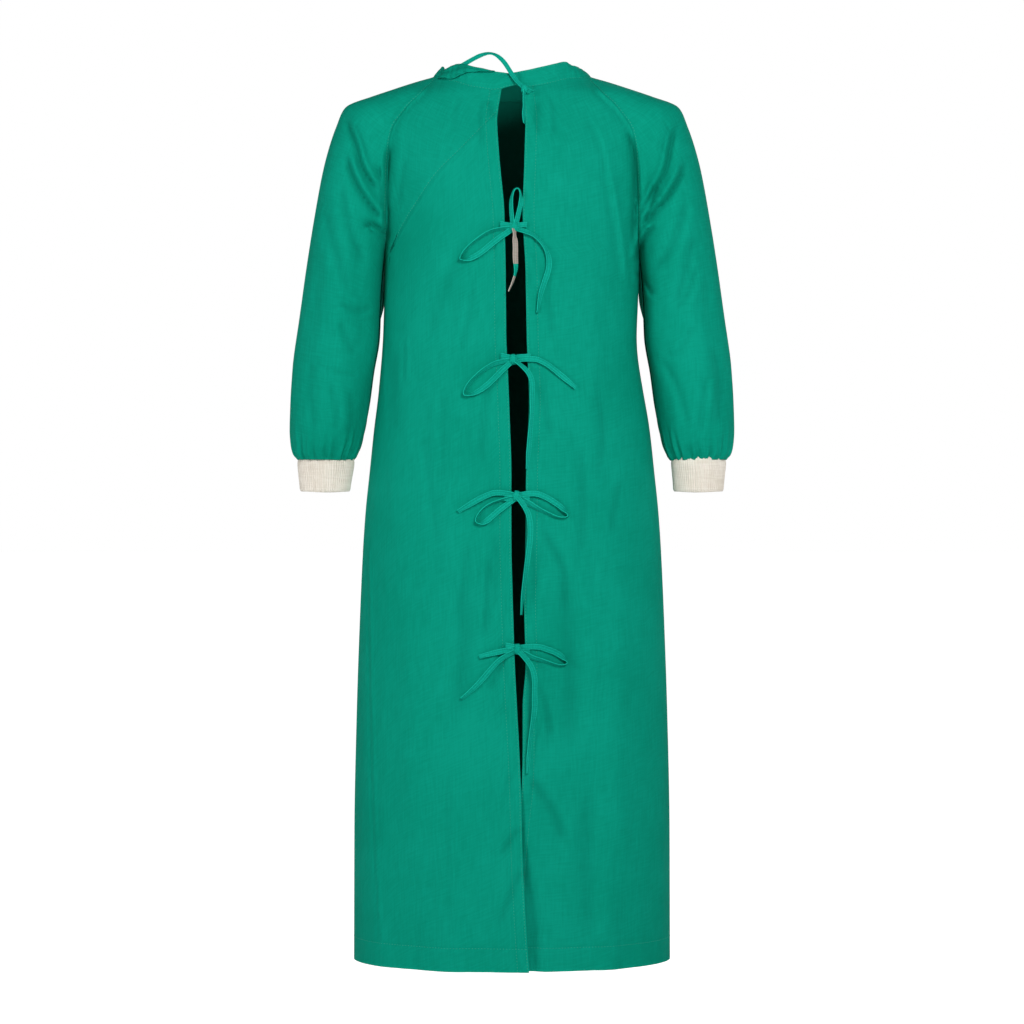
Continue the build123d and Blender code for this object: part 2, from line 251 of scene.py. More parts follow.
# Folds of the back: points (x, z), width, height, share of a partner beside it
BACK_FOLDS = [
    # left sleeve and armpit
    ([(-241, -50), (-232, -76), (-223, -98), (-217, -126), (-203, -148), (-188, -168)], 4.5, -7.5, -0.7),
    ([(-243, -108), (-238, -112), (-234, -126), (-228, -143), (-214, -169), (-202, -184), (-184, -206)],
     4.5, -8, -0.7),
    ([(-213, -214), (-203, -207), (-191, -212), (-181, -224)], 3.6, -8.5, 0.8),
    ([(-192, -122), (-187, -150), (-186, -192)], 4, -5, -0.6),
    ([(-246, -152), (-236, -200), (-224, -238), (-208, -266)], 8, -3.6, 0.5),
    ([(-270, -180), (-258, -235), (-240, -285), (-228, -312)], 9, -3.2, 0.5),
    ([(-248, -318), (-225, -334), (-196, -325)], 5, -3.4, 0.7),
    ([(-291, -396), (-270, -413), (-244, -420), (-219, -427)], 2.6, -2.2, 0.6),
    ([(-246, -344), (-233, -380), (-226, -398)], 6, -2.4, 0.5),
    ([(-286, -390), (-289, -450), (-283, -510)], 9, -2.6, 0.5),
    ([(-262, -430), (-250, -470), (-252, -512)], 7, -2.6, -0.5),
    ([(-232, -440), (-228, -480), (-236, -515)], 6, -2.4, 0.5),
    ([(-226, -60), (-213, -90), (-205, -116)], 6, -2.6, 0.5),
    ([(-112, -2), (-122, -22), (-148, -44), (-166, -66), (-175, -96)], 3, -2.4, 0.8),
    ([(-172, -86), (-178, -120), (-179, -165), (-178, -205), (-180, -245)], 4, -7.5, 0.7),
    ([(-150, -112), (-158, -150), (-164, -190)], 8, -2.4, 0.5),
    # right sleeve and armpit
    ([(112, -4), (120, -24), (146, -46), (164, -72)], 3, -2.2, -0.8),
    ([(158, -62), (170, -90), (176, -125), (177, -165), (174, -205), (176, -245)], 4, -7.5, -0.7),
    ([(104, -57), (125, -100), (135, -152)], 5, -1.8, -0.6),
    ([(135, -118), (147, -171), (157, -223), (166, -305)], 5, 2.6, 0.9),
    ([(243, -54), (229, -82), (221, -136), (203, -162), (193, -205), (182, -226)], 4.5, -7, 0.7),
    ([(250, -116), (240, -144), (219, -179), (201, -194), (186, -216)], 4.5, -8, 0.7),
    ([(205, -208), (194, -222), (184, -238), (180, -262)], 4, -8, 0.8),
    ([(208, -152), (194, -176), (182, -196)], 4, -5, 0.6),
    ([(178, -272), (192, -288), (203, -312)], 4, -7, 0.7),
    ([(251, -168), (240, -214), (222, -252), (196, -280)], 8, -3.8, -0.6),
    ([(262, -220), (255, -262), (240, -305), (232, -330)], 8, -3.2, 0.5),
    ([(232, -334), (254, -304), (266, -266)], 7, -2.8, 0.5),
    ([(226, -62), (215, -90), (212, -112)], 6, -2.8, 0.5),
    ([(289, -380), (300, -440), (297, -500)], 8, -2.8, 0.5),
    ([(212, -395), (238, -440), (256, -505)], 7, -2.8, 0.5),
    ([(281, -420), (272, -470), (271, -515)], 6, -2.4, -0.5),
    ([(262, -352), (246, -385), (224, -402)], 5, -2.0, 0.5),
    # left back and skirt
    ([(-150, -372), (-149, -405), (-150, -440)], 3, 1.3, 0.5),
    ([(-168, -380), (-170, -440), (-168, -520)], 14, -2.6, 0.3),
    ([(-90, -510), (-91, -545), (-89, -575)], 2.4, -0.9, 0.5),
    ([(-78, -515), (-75, -565)], 2.4, -0.9, 0.5),
    ([(-126, -508), (-115, -594), (-104, -680)], 6, -1.6, 0.5),
    ([(-91, -968), (-90, -1100), (-88, -1240)], 2.6, -1.3, 0.6),
    ([(-30, -672), (-34, -740), (-37, -806)], 5, -3.4, 0.8),
    ([(-19, -640), (-22, -700), (-24, -760)], 5, -2.0, 0.7),
    ([(-60, -650), (-66, -730), (-70, -800)], 8, -2.2, 0.6),
    ([(-12, -806), (-17, -845), (-33, -876)], 5, -3.4, 0.7),
    ([(-30, -430), (-40, -480), (-42, -560)], 7, -2.4, 0.6),
    ([(-100, -440), (-96, -520), (-101, -590)], 7, -2.0, 0.6),
    ([(-52, -290), (-60, -340), (-72, -396)], 6, -2.0, 0.6),
    ([(-20, -840), (-17, -870), (-16, -905)], 7, 2.6, 0.5),
    ([(-1, -985), (-12, -1024)], 6, -1.8, 0.5),
    ([(15, -1060), (0, -1082), (-18, -1108)], 6, -2.6, 0.6),
    ([(15, -1118), (-5, -1172), (-20, -1206)], 7, -3.0, 0.6),
    ([(-33, -34), (-25, -64)], 3, -2.6, 0.8),
    ([(-43, -32), (-46, -70), (-42, -104)], 3, -2.2, -0.8),
    ([(-72, -22), (-80, -50), (-84, -80)], 4, -1.6, 0.7),
    ([(-60, -240), (-95, -300), (-120, -380)], 16, -2.2, 0.3),
    ([(-70, -700), (-62, -800), (-80, -930)], 22, -3.0, 0.3),
    ([(-140, -760), (-146, -900), (-140, -1060)], 24, 3.0, 0.3),
    # right back and skirt
    ([(20, -988), (38, -1013), (60, -1046), (74, -1092)], 9, -4.6, -0.6),
    ([(38, -30), (35, -58), (40, -92)], 3, -2.4, 0.8),
    ([(54, -26), (62, -56), (60, -96)], 4, -1.8, 0.7),
    ([(121, -442), (133, -515), (119, -580)], 7, -1.9, 0.5),
    ([(156, -570), (142, -655)], 6, -1.8, 0.5),
    ([(27, -835), (45, -905), (40, -960)], 8, 2.4, 0.4),
    ([(40, -640), (62, -676), (76, -700), (80, -760)], 6, -3.4, 0.7),
    ([(30, -636), (33, -690), (30, -770)], 5, -2.4, 0.7),
    ([(26, -420), (46, -462), (58, -520)], 6, -2.6, 0.6),
    ([(36, -262), (52, -310), (60, -380)], 6, -2.2, 0.6),
    ([(30, -850), (48, -884), (58, -940)], 6, -2.8, 0.7),
    ([(96, -520), (104, -600), (98, -690)], 8, -2.0, 0.6),
    ([(70, -700), (86, -830), (80, -960)], 22, -3.0, 0.3),
    ([(150, -780), (140, -930), (150, -1100)], 24, 3.0, 0.3),
    ([(110, -1000), (104, -1110), (112, -1240)], 16, -2.2, 0.3),
]

# Folds of the front, in the same form: those that both sides have, given for the right, and the rest
PAIRED_FOLDS = [
    ([(150, -110), (170, -180), (176, -240)], 9, -5, 0.4),
    ([(235, -60), (215, -130), (190, -215)], 7, -6, 0.5),
    ([(246, -120), (222, -180), (195, -228)], 6, -5, 0.5),
    ([(262, -300), (240, -360), (210, -380)], 8, -3.5, 0.5),
    ([(290, -400), (250, -440), (222, -450)], 6, -3, 0.5),
]
FRONT_FOLDS = [
    ([(-60, -60), (-20, -110), (40, -130), (80, -80)], 14, -2.5, 0.4),
    ([(-40, -330), (-48, -620), (-60, -1240)], 26, 6, 0.5),
    ([(52, -300), (64, -640), (70, -1250)], 28, 6, 0.5),
    ([(-120, -420), (-140, -800), (-142, -1250)], 24, -5, 0.4),
    ([(128, -430), (146, -800), (150, -1250)], 24, -5, 0.4),
    ([(6, -520), (2, -900), (8, -1250)], 22, -4.5, 0.4),
]
for points, *form in PAIRED_FOLDS:
    FRONT_FOLDS += [([(side * x, z) for x, z in points], *form) for side in (LEFT, RIGHT)]


def waves(x, z, seed):
    """The soft unevenness of the whole cloth, stronger towards the hem."""
    free = 0.35 + 0.65 * ease((FREE_Z - z) / FREE_LENGTH)
    return (
        4.6 * free * ripple(x, z, 58, 520, seed)
        + 1.7 * (0.5 + 0.5 * free) * ripple(x, z, 25, 190, seed + 1)
        + 0.55 * ripple(x, z, 11, 46, seed + 2)
        + 0.22 * ripple(x, z, 7, 10, seed + 3)
    )


def hem_relief(x, z):
    """The stitch line above the hem, and the puckers that it makes."""
    above = z - (HEM_Z + HEM_HEIGHT)
    pucker = ripple(x, z * 0, 6.5, 1, 31) * np.exp(-((above / 13) ** 2))
    return 0.55 * pucker - 0.6 * np.exp(-((above / STITCH_DENT) ** 2)) + 0.5 * ease(-above / 3)


def back_relief(x, z, side):
    """How far the cloth of the back stands out from the plain form, for the left or right pieces."""
    out = waves(x, z, 3) + folded(x, z, BACK_FOLDS)[0]
    inside = side * (x - EDGE[side](z))
    out += hem_relief(x, z)
    # the stitch line of the facing, its double cloth, and the unevenness of the free edge
    out -= 0.8 * np.exp(-(((inside - FACING_WIDTH) / STITCH_DENT) ** 2))
    out += 0.5 * ease((FACING_WIDTH - inside) / 3)
    out += 1.0 * ripple(z, inside * 0, 90, 1, 41 + side) * ease((40 - inside) / 40)
    # where they lap, the left edge stands out and the right one sinks behind it
    lap = ease((LAP_Z - z) / LAP_LENGTH)
    if side == LEFT:
        out += fold(x, z, YOKE_SEAM, 1.8, -0.9, -0.8, 0.02)[0]
        out += fold(x, z, SIDE_SEAM, 2.2, 1.9, 0.7, 0.1)[0]
        out += 0.5 * ripple(x + z, x - z, 5, 60, 35) * fold(x, z, YOKE_SEAM, 8, 1, 0, 0.02)[0]
        out += lap * 2.2 * ease((70 - inside) / 70)
    else:
        brow = 22 + 28 * ease((-z - 1040) / 170)
        out -= lap * (2.0 + 9.0 * ease((brow - x) / 24)) * ease((90 - inside) / 50)
    return out


def front_relief(x, z):
    """How far the cloth of the front stands out from the plain form."""
    return waves(x, z, 13) + hem_relief(x, z) + folded(x, z, FRONT_FOLDS)[0]


def fold_shade(grid):
    """How much painted shade each point of a piece gets from lying deep in a fold, 0 to 1."""
    x, y, z = grid[..., 0], grid[..., 1], grid[..., 2]
    back, front = folded(x, z, BACK_FOLDS)[1], folded(x, z, FRONT_FOLDS)[1]
    return np.where(y < 0, back * ease(-y / 10), front * ease(y / 10))


def settled(points, side):
    """The points of a piece with the folds pushed in along Y. Nothing moves at the side seams."""
    x, y, z = points[..., 0], points[..., 1], points[..., 2]
    back, front = ease((-y - 1) / 24), ease((y - 1) / 24)
    out = points.copy()
    if (back > 0).any():
        out[..., 1] -= back * back_relief(x, z, side)
    if (front > 0).any():
        out[..., 1] += front * front_relief(x, z)
    return out


def side_angle(z):
    """Angle from the side of the body to the raglan seam, 0 below the underarm."""
    return np.arccos(np.clip(np.where(z > UNDERARM_Z, raglan_share(z), 1.0), -1, 1))


def right_waist(z):
    """How far the right side of the body is drawn in below the underarm."""
    return WAIST_IN * np.exp(-(((z - WAIST_Z) / 70) ** 2)) * ease((FREE_Z - z) / 40)


def body_point(angle, z, side, front):
    """Point of the plain body at an angle from its side towards its centre line."""
    drawn_in = right_waist(z) if side == RIGHT else 0
    x = side * (half_width(z) * np.cos(angle) - drawn_in * np.cos(angle) ** 4)
    y = half_depth(z) * np.sin(angle) * (1 if front else -1)
    return np.stack([x, y, z], -1)


def back_surface_y(x, z, side):
    """Y of the finished back at (x, z)."""
    share = np.clip(np.abs(x) / half_width(z), 0, 0.999)
    return -half_depth(z) * np.sqrt(1 - share**2) - back_relief(x, z, side)


# ---------------------------------------------------------------- materials
class Tree:
    """The nodes of a material. Each call makes one kind of node and returns what comes out of it."""

    def __init__(self, name):
        self.material = bpy.data.materials.new(name)
        self.material.use_nodes = True
        self.nodes = self.material.node_tree.nodes
        self.link = self.material.node_tree.links.new
        self.shader = self.nodes["Principled BSDF"].inputs

    def place(self):
        return self.nodes.new("ShaderNodeTexCoord").outputs["Object"]

    def attribute(self, title, output="Fac"):
        node = self.nodes.new("ShaderNodeAttribute")
        node.attribute_name = title
        return node.outputs[output]

    def split(self, vector):
        node = self.nodes.new("ShaderNodeSeparateXYZ")
        self.link(vector, node.inputs[0])
        return node.outputs

    def math(self, kind, a, b=None):
        node = self.nodes.new("ShaderNodeMath")
        node.operation = kind
        for socket, value in zip(node.inputs, (a, b)):
            if isinstance(value, (int, float)):
                socket.default_value = value
            elif value is not None:
                self.link(value, socket)
        return node.outputs[0]

    def noise(self, vector, scale, detail=3.0, stretch=(1, 1, 1)):
        mapping = self.nodes.new("ShaderNodeMapping")
        mapping.inputs["Scale"].default_value = stretch
        self.link(vector, mapping.inputs["Vector"])
        node = self.nodes.new("ShaderNodeTexNoise")
        node.inputs["Scale"].default_value = scale
        node.inputs["Detail"].default_value = detail
        self.link(mapping.outputs[0], node.inputs["Vector"])
        return node.outputs["Fac"]

    def remap(self, value, low, high, new_low, new_high):
        node = self.nodes.new("ShaderNodeMapRange")
        for socket, number in zip(list(node.inputs)[1:5], (low, high, new_low, new_high)):
            socket.default_value = number
        self.link(value, node.inputs[0])
        return node.outputs[0]

    def mix(self, factor, a, b):
        node = self.nodes.new("ShaderNodeMix")
        node.data_type = "RGBA"
        self.link(factor, node.inputs[0])
        for socket, value in ((node.inputs[6], a), (node.inputs[7], b)):
            if isinstance(value, tuple):
                socket.default_value = (*value, 1)
            else:
                self.link(value, socket)
        return node.outputs[2]

    def bump(self, height, distance, strength, under=None):
        node = self.nodes.new("ShaderNodeBump")
        node.inputs["Distance"].default_value = distance
        node.inputs["Strength"].default_value = strength
        self.link(height, node.inputs["Height"])
        if under is not None:
            self.link(under, node.inputs["Normal"])
        return node.outputs[0]


def toned(colour, factor, plus=0.0):
    """A colour made darker or lighter."""
    return tuple(min(1.0, factor * c + plus) for c in colour)


DASH_PITCH = 0.0028          # metres from one stitch to the next in the line along a tape


def cloth_material(name, deep, light, pitch=1.1, crumple=0.35, roughness=0.82, sheen=0.03, stitched=None):
    """Plain-woven cloth: two shades, slubs along both threads, the weave, and a slight crumple.

    pitch, crumple and stitched are millimetres. stitched is how far the sewn lines are from the middle of
    a tape. Three attributes are shares of a change of colour: the edges made lighter, which on the tapes
    is a painted highlight; painted shade in folds, seams, grooves and under overhangs; and inside, painted
    shade on the inner face.
    """
    tree = Tree(name)
    weave = tree.attribute("weave", "Vector")
    across, along, _ = tree.split(weave)
    turns = 2 * math.pi / (pitch * MM)
    warp = tree.math("SINE", tree.math("MULTIPLY", across, turns))
    weft = tree.math("SINE", tree.math("MULTIPLY", along, turns))
    threads = tree.math("MULTIPLY", warp, weft)
    broad = tree.noise(tree.place(), 9.0, 2.0)
    slub = tree.noise(weave, 60.0, 3.0, (6.0, 0.5, 1.0))
    cross = tree.noise(weave, 60.0, 3.0, (0.6, 7.0, 1.0))
    mottle = tree.math("ADD", tree.math("ADD", broad, slub), cross)

    tone = tree.mix(tree.remap(mottle, 1.22, 1.78, 0.0, 1.0), deep, light)
    tone = tree.mix(tree.remap(threads, -1, 1, 0.0, 0.14), tone, toned(deep, 0.55))
    # Lighter near the edges of the cloth; on the tapes this is a painted highlight.
    tone = tree.mix(tree.remap(tree.attribute("wear"), 0, 1, 0.0, 0.35), tone, toned(light, 1.5, 0.006))
    # Painted shade in folds, in seams, in the tapes' grooves and under overhangs.
    tone = tree.mix(tree.remap(tree.attribute("crease"), 0, 1, 0.0, 0.45), tone, toned(deep, 0.45))
    if stitched:
        from_line = tree.math("SUBTRACT", tree.math("ABSOLUTE", across), stitched * MM)
        line = tree.remap(tree.math("ABSOLUTE", from_line), 0.0002, 0.0005, 1.0, 0.0)
        steps = tree.math("SINE", tree.math("MULTIPLY", along, 2 * math.pi / DASH_PITCH))
        dash = tree.remap(steps, -0.3, 0.1, 0.0, 0.6)
        tone = tree.mix(tree.math("MULTIPLY", line, dash), tone, toned(deep, 0.5))
    # Painted shade on the inner face of the cloth, for the shaded inside of the gown.
    tone = tree.mix(tree.remap(tree.attribute("inside"), 0, 1, 0.0, 0.8), tone, toned(deep, 0.3))
    tree.link(tone, tree.shader["Base Color"])
    rough = tree.remap(mottle, 1.1, 1.9, roughness + 0.06, roughness - 0.06)
    tree.link(rough, tree.shader["Roughness"])
    tree.shader["Sheen Weight"].default_value = sheen
    tree.shader["Sheen Roughness"].default_value = 0.4
    tree.shader["Sheen Tint"].default_value = (*light, 1)
    tree.shader["Specular IOR Level"].default_value = 0.03

    wrinkle = tree.noise(weave, 45.0, 4.0, (1.6, 0.7, 1.0))
    soft = tree.bump(wrinkle, crumple * MM, 1.0)
    tree.link(tree.bump(threads, 0.06 * MM, 0.8, soft), tree.shader["Normal"])
    return tree.material


def thread_material(name, colour):
    """Twisted sewing thread."""
    tree = Tree(name)
    fleck = tree.noise(tree.place(), 900.0, 2.0)
    tree.link(tree.mix(fleck, toned(colour, 0.7), toned(colour, 1.25)), tree.shader["Base Color"])
    tree.shader["Roughness"].default_value = 0.6
    tree.shader["Sheen Weight"].default_value = 0.1
    return tree.material


GREEN_DEEP, GREEN_LIGHT = (0.0010, 0.258, 0.170), (0.0018, 0.304, 0.208)
TAPE_FORM = dict(pitch=0.8, crumple=0.3, stitched=2.9)
gown_cloth = cloth_material("gown_cloth", GREEN_DEEP, GREEN_LIGHT)
tape_cloth = cloth_material("tape_cloth", (0.0018, 0.315, 0.220), (0.0050, 0.430, 0.310), **TAPE_FORM)
# The cream is greyed and darkened: partly the tape's own colour, partly painted shade.
cream_tape = cloth_material("cream_tape", (0.30, 0.27, 0.23), (0.44, 0.40, 0.35), **TAPE_FORM)
rib_knit = cloth_material(
    "rib_knit", (0.72, 0.66, 0.57), (0.86, 0.81, 0.73), pitch=1.0, crumple=0.15, roughness=0.9, sheen=0.2
)
green_thread = thread_material("green_thread", (0.008, 0.30, 0.20))


# ---------------------------------------------------------------- meshes
def new_object(name, points, faces, materials, smooth_angle, **layers):
    """A mesh object whose layers are one share or one vector for each point."""
    mesh = bpy.data.meshes.new(name)
    mesh.from_pydata([tuple(p) for p in points], [], faces)
    for material in materials:
        mesh.materials.append(material)
    for title, values in layers.items():
        values = np.asarray(values, np.float32)
        vectors = values.ndim == 2
        layer = mesh.attributes.new(title, "FLOAT_VECTOR" if vectors else "FLOAT", "POINT")
        layer.data.foreach_set("vector" if vectors else "value", values.ravel())
    mesh.polygons.foreach_set("use_smooth", [True] * len(mesh.polygons))
    mesh.set_sharp_from_angle(angle=math.radians(smooth_angle))
    obj = bpy.data.objects.new(name, mesh)
    bpy.context.scene.collection.objects.link(obj)
    return obj


def normals_of(grid, outward):
    """Unit normals of a grid of points, turned so that they agree with outward."""
    down, across = np.gradient(grid, axis=0), np.gradient(grid, axis=1)
    n = np.cross(down, across)
    n /= np.maximum(np.linalg.norm(n, axis=-1, keepdims=True), 1e-9)
    return n if (n * outward).sum() > 0 else -n


def flat_lengths(grid):
    """Distance across and along the cloth at each point of its grid, in metres."""
    across = np.linalg.norm(np.diff(grid, axis=1), axis=-1)
    along = np.linalg.norm(np.diff(grid, axis=0), axis=-1)
    u = np.concatenate([np.zeros((grid.shape[0], 1)), np.cumsum(across, 1)], 1)
    v = np.concatenate([np.zeros((1, grid.shape[1])), np.cumsum(along, 0)], 0)
    u -= u[:, -1:] / 2
    return u * MM, v * MM


pieces = {}                  # every piece but the tapes and knots, by name


def cloth_object(name, grid, outward, material, thickness=CLOTH, wear=0.0, crease=0.0, closed=False):
    """A sheet of cloth from a grid of points on its outer face, with its inner face and its rim.

    outward is one direction or a direction for each point. A closed piece joins its last column to its
    first, and its outward is the point in its middle. Returns the normals of the grid.
    """
    rows, columns = grid.shape[:2]
    count = rows * columns
    index = np.arange(count).reshape(rows, columns)
    if closed:
        wrapped = np.concatenate([grid[:, -1:], grid, grid[:, :1]], 1)
        normals = normals_of(wrapped, wrapped - outward)[:, 1:-1]
        index = np.concatenate([index, index[:, :1]], 1)
        rims = [(edge[:-1], edge[1:]) for edge in (index[0], index[-1, ::-1])]
    else:
        normals = normals_of(grid, outward)
        edge = np.concatenate([index[0, :-1], index[:-1, -1], index[-1, :0:-1], index[:0:-1, 0]])
        rims = [(edge, np.roll(edge, -1))]
    points = np.concatenate([grid.reshape(-1, 3), (grid - normals * thickness).reshape(-1, 3)]) * MM
    outer = np.stack([index[:-1, :-1], index[:-1, 1:], index[1:, 1:], index[1:, :-1]], -1).reshape(-1, 4)
    rim = np.concatenate([np.stack([b, a, a + count, b + count], -1) for a, b in rims])
    corner, right, _, below = points[outer[0]]
    if np.dot(np.cross(right - corner, below - corner), normals.reshape(-1, 3)[outer[0, 0]]) < 0:
        outer, rim = outer[:, ::-1], rim[:, ::-1]
    faces = np.concatenate([outer, outer[:, ::-1] + count, rim])

    u, v = flat_lengths(grid)
    weave = np.stack([u, v, np.zeros_like(u)], -1).reshape(-1, 3)
    wear = np.broadcast_to(wear, grid.shape[:2])
    # Painted shade: the one given, and the shade at the bottoms of the folds.
    crease = np.maximum(crease, fold_shade(grid))
    # inside is 1 on the inner face, which the material paints in shade.
    pieces[name] = new_object(
        name, points, faces.tolist(), [material], 50, weave=np.tile(weave, (2, 1)),
        wear=np.tile(wear.ravel(), 2), crease=np.tile(crease.ravel(), 2), inside=np.repeat([0.0, 1.0], count),
    )
    # Rows of a sleeve slope, and are measured as they lie. The other pieces are measured level.
    return normals


def near_edge(grid, width, borders):
    """1 on the chosen borders of a grid, fading to 0 within width."""
    u, v = flat_lengths(grid)
    distance = {"left": u - u[:, :1], "right": u[:, -1:] - u, "top": v, "bottom": v[-1:] - v}
    nearest = np.minimum.reduce([distance[border] for border in borders])
    return 1 - ease(nearest / MM / width)


def tube_faces(rings, sides, base=0, looped=False):
    """Faces of a tube of rings, whose ends are closed or joined to each other."""
    faces = []
    for i in range(rings if looped else rings - 1):
        a, b = base + i * sides, base + (i + 1) % rings * sides
        faces += [(a + j, a + (j + 1) % sides, b + (j + 1) % sides, b + j) for j in range(sides)]
    if not looped:
        faces.append(tuple(base + j for j in reversed(range(sides))))
        faces.append(tuple(base + (rings - 1) * sides + j for j in range(sides)))
    return faces


STITCH_PITCH, STITCH_LENGTH, STITCH_RADIUS, STITCH_SIDES = 4.4, 3.0, 0.32, 6
STITCH_RINGS = [(0.5, -0.25), (1.0, 0.12), (0.5, -0.25)]     # share of the radius, height off the cloth


def stitched(name, lines):
    """Small capsules laid along lines on the cloth. Each line is (points, normals)."""
    points, faces = [], []
    for line, normal in lines:
        step = np.linalg.norm(np.diff(line, axis=0), axis=1)
        along = np.concatenate([[0], np.cumsum(step)])
        starts = np.arange(STITCH_PITCH / 2, along[-1] - STITCH_LENGTH, STITCH_PITCH)
        at = np.stack([starts, starts + 0.5 * STITCH_LENGTH, starts + STITCH_LENGTH], 1)
        spot = np.stack([np.interp(at, along, line[:, k]) for k in range(3)], -1)
        up = np.stack([np.interp(at[:, 1], along, normal[:, k]) for k in range(3)], -1)
        up /= np.linalg.norm(up, axis=1, keepdims=True)
        for centres, n in zip(spot, up):
            t = centres[2] - centres[0]
            s = np.cross(t / max(np.linalg.norm(t), 1e-9), n)
            faces += tube_faces(len(STITCH_RINGS), STITCH_SIDES, len(points))
            for centre, (size, lift) in zip(centres, STITCH_RINGS):
                for k in range(STITCH_SIDES):
                    a = 2 * math.pi * k / STITCH_SIDES
                    around = math.cos(a) * s + math.sin(a) * n
                    points.append((centre + n * lift + STITCH_RADIUS * size * around) * MM)
    pieces[name] = new_object(name, points, faces, [green_thread], 80)


# ---------------------------------------------------------------- ties
TAPE_WIDTH, TAPE_THICKNESS = 8.0, 0.9
KNOT_OFF = 4.0              # from the plain back to the middle of a knot that lies on it
TAIL_DROP = 5.3             # how far the tail starts in front of the knot's middle
# How far a tape is off the cloth beside its knot, and well away from the knot
TAPE_LIFT, STRAP_LIFT, TAIL_LIFT = (4.6, 4.6), (2.4, 2.4), (14.5, 5.0)
KNOT_REACH, LOOP_REACH = 8, 82      # from a knot's middle: where its tapes sink to the cloth, where loops end
OPENING_X = 6               # the routes left of this lie on the left back panel
STRAP_TURNS = [(0, 0), (0.5, 14), (1, 4)]

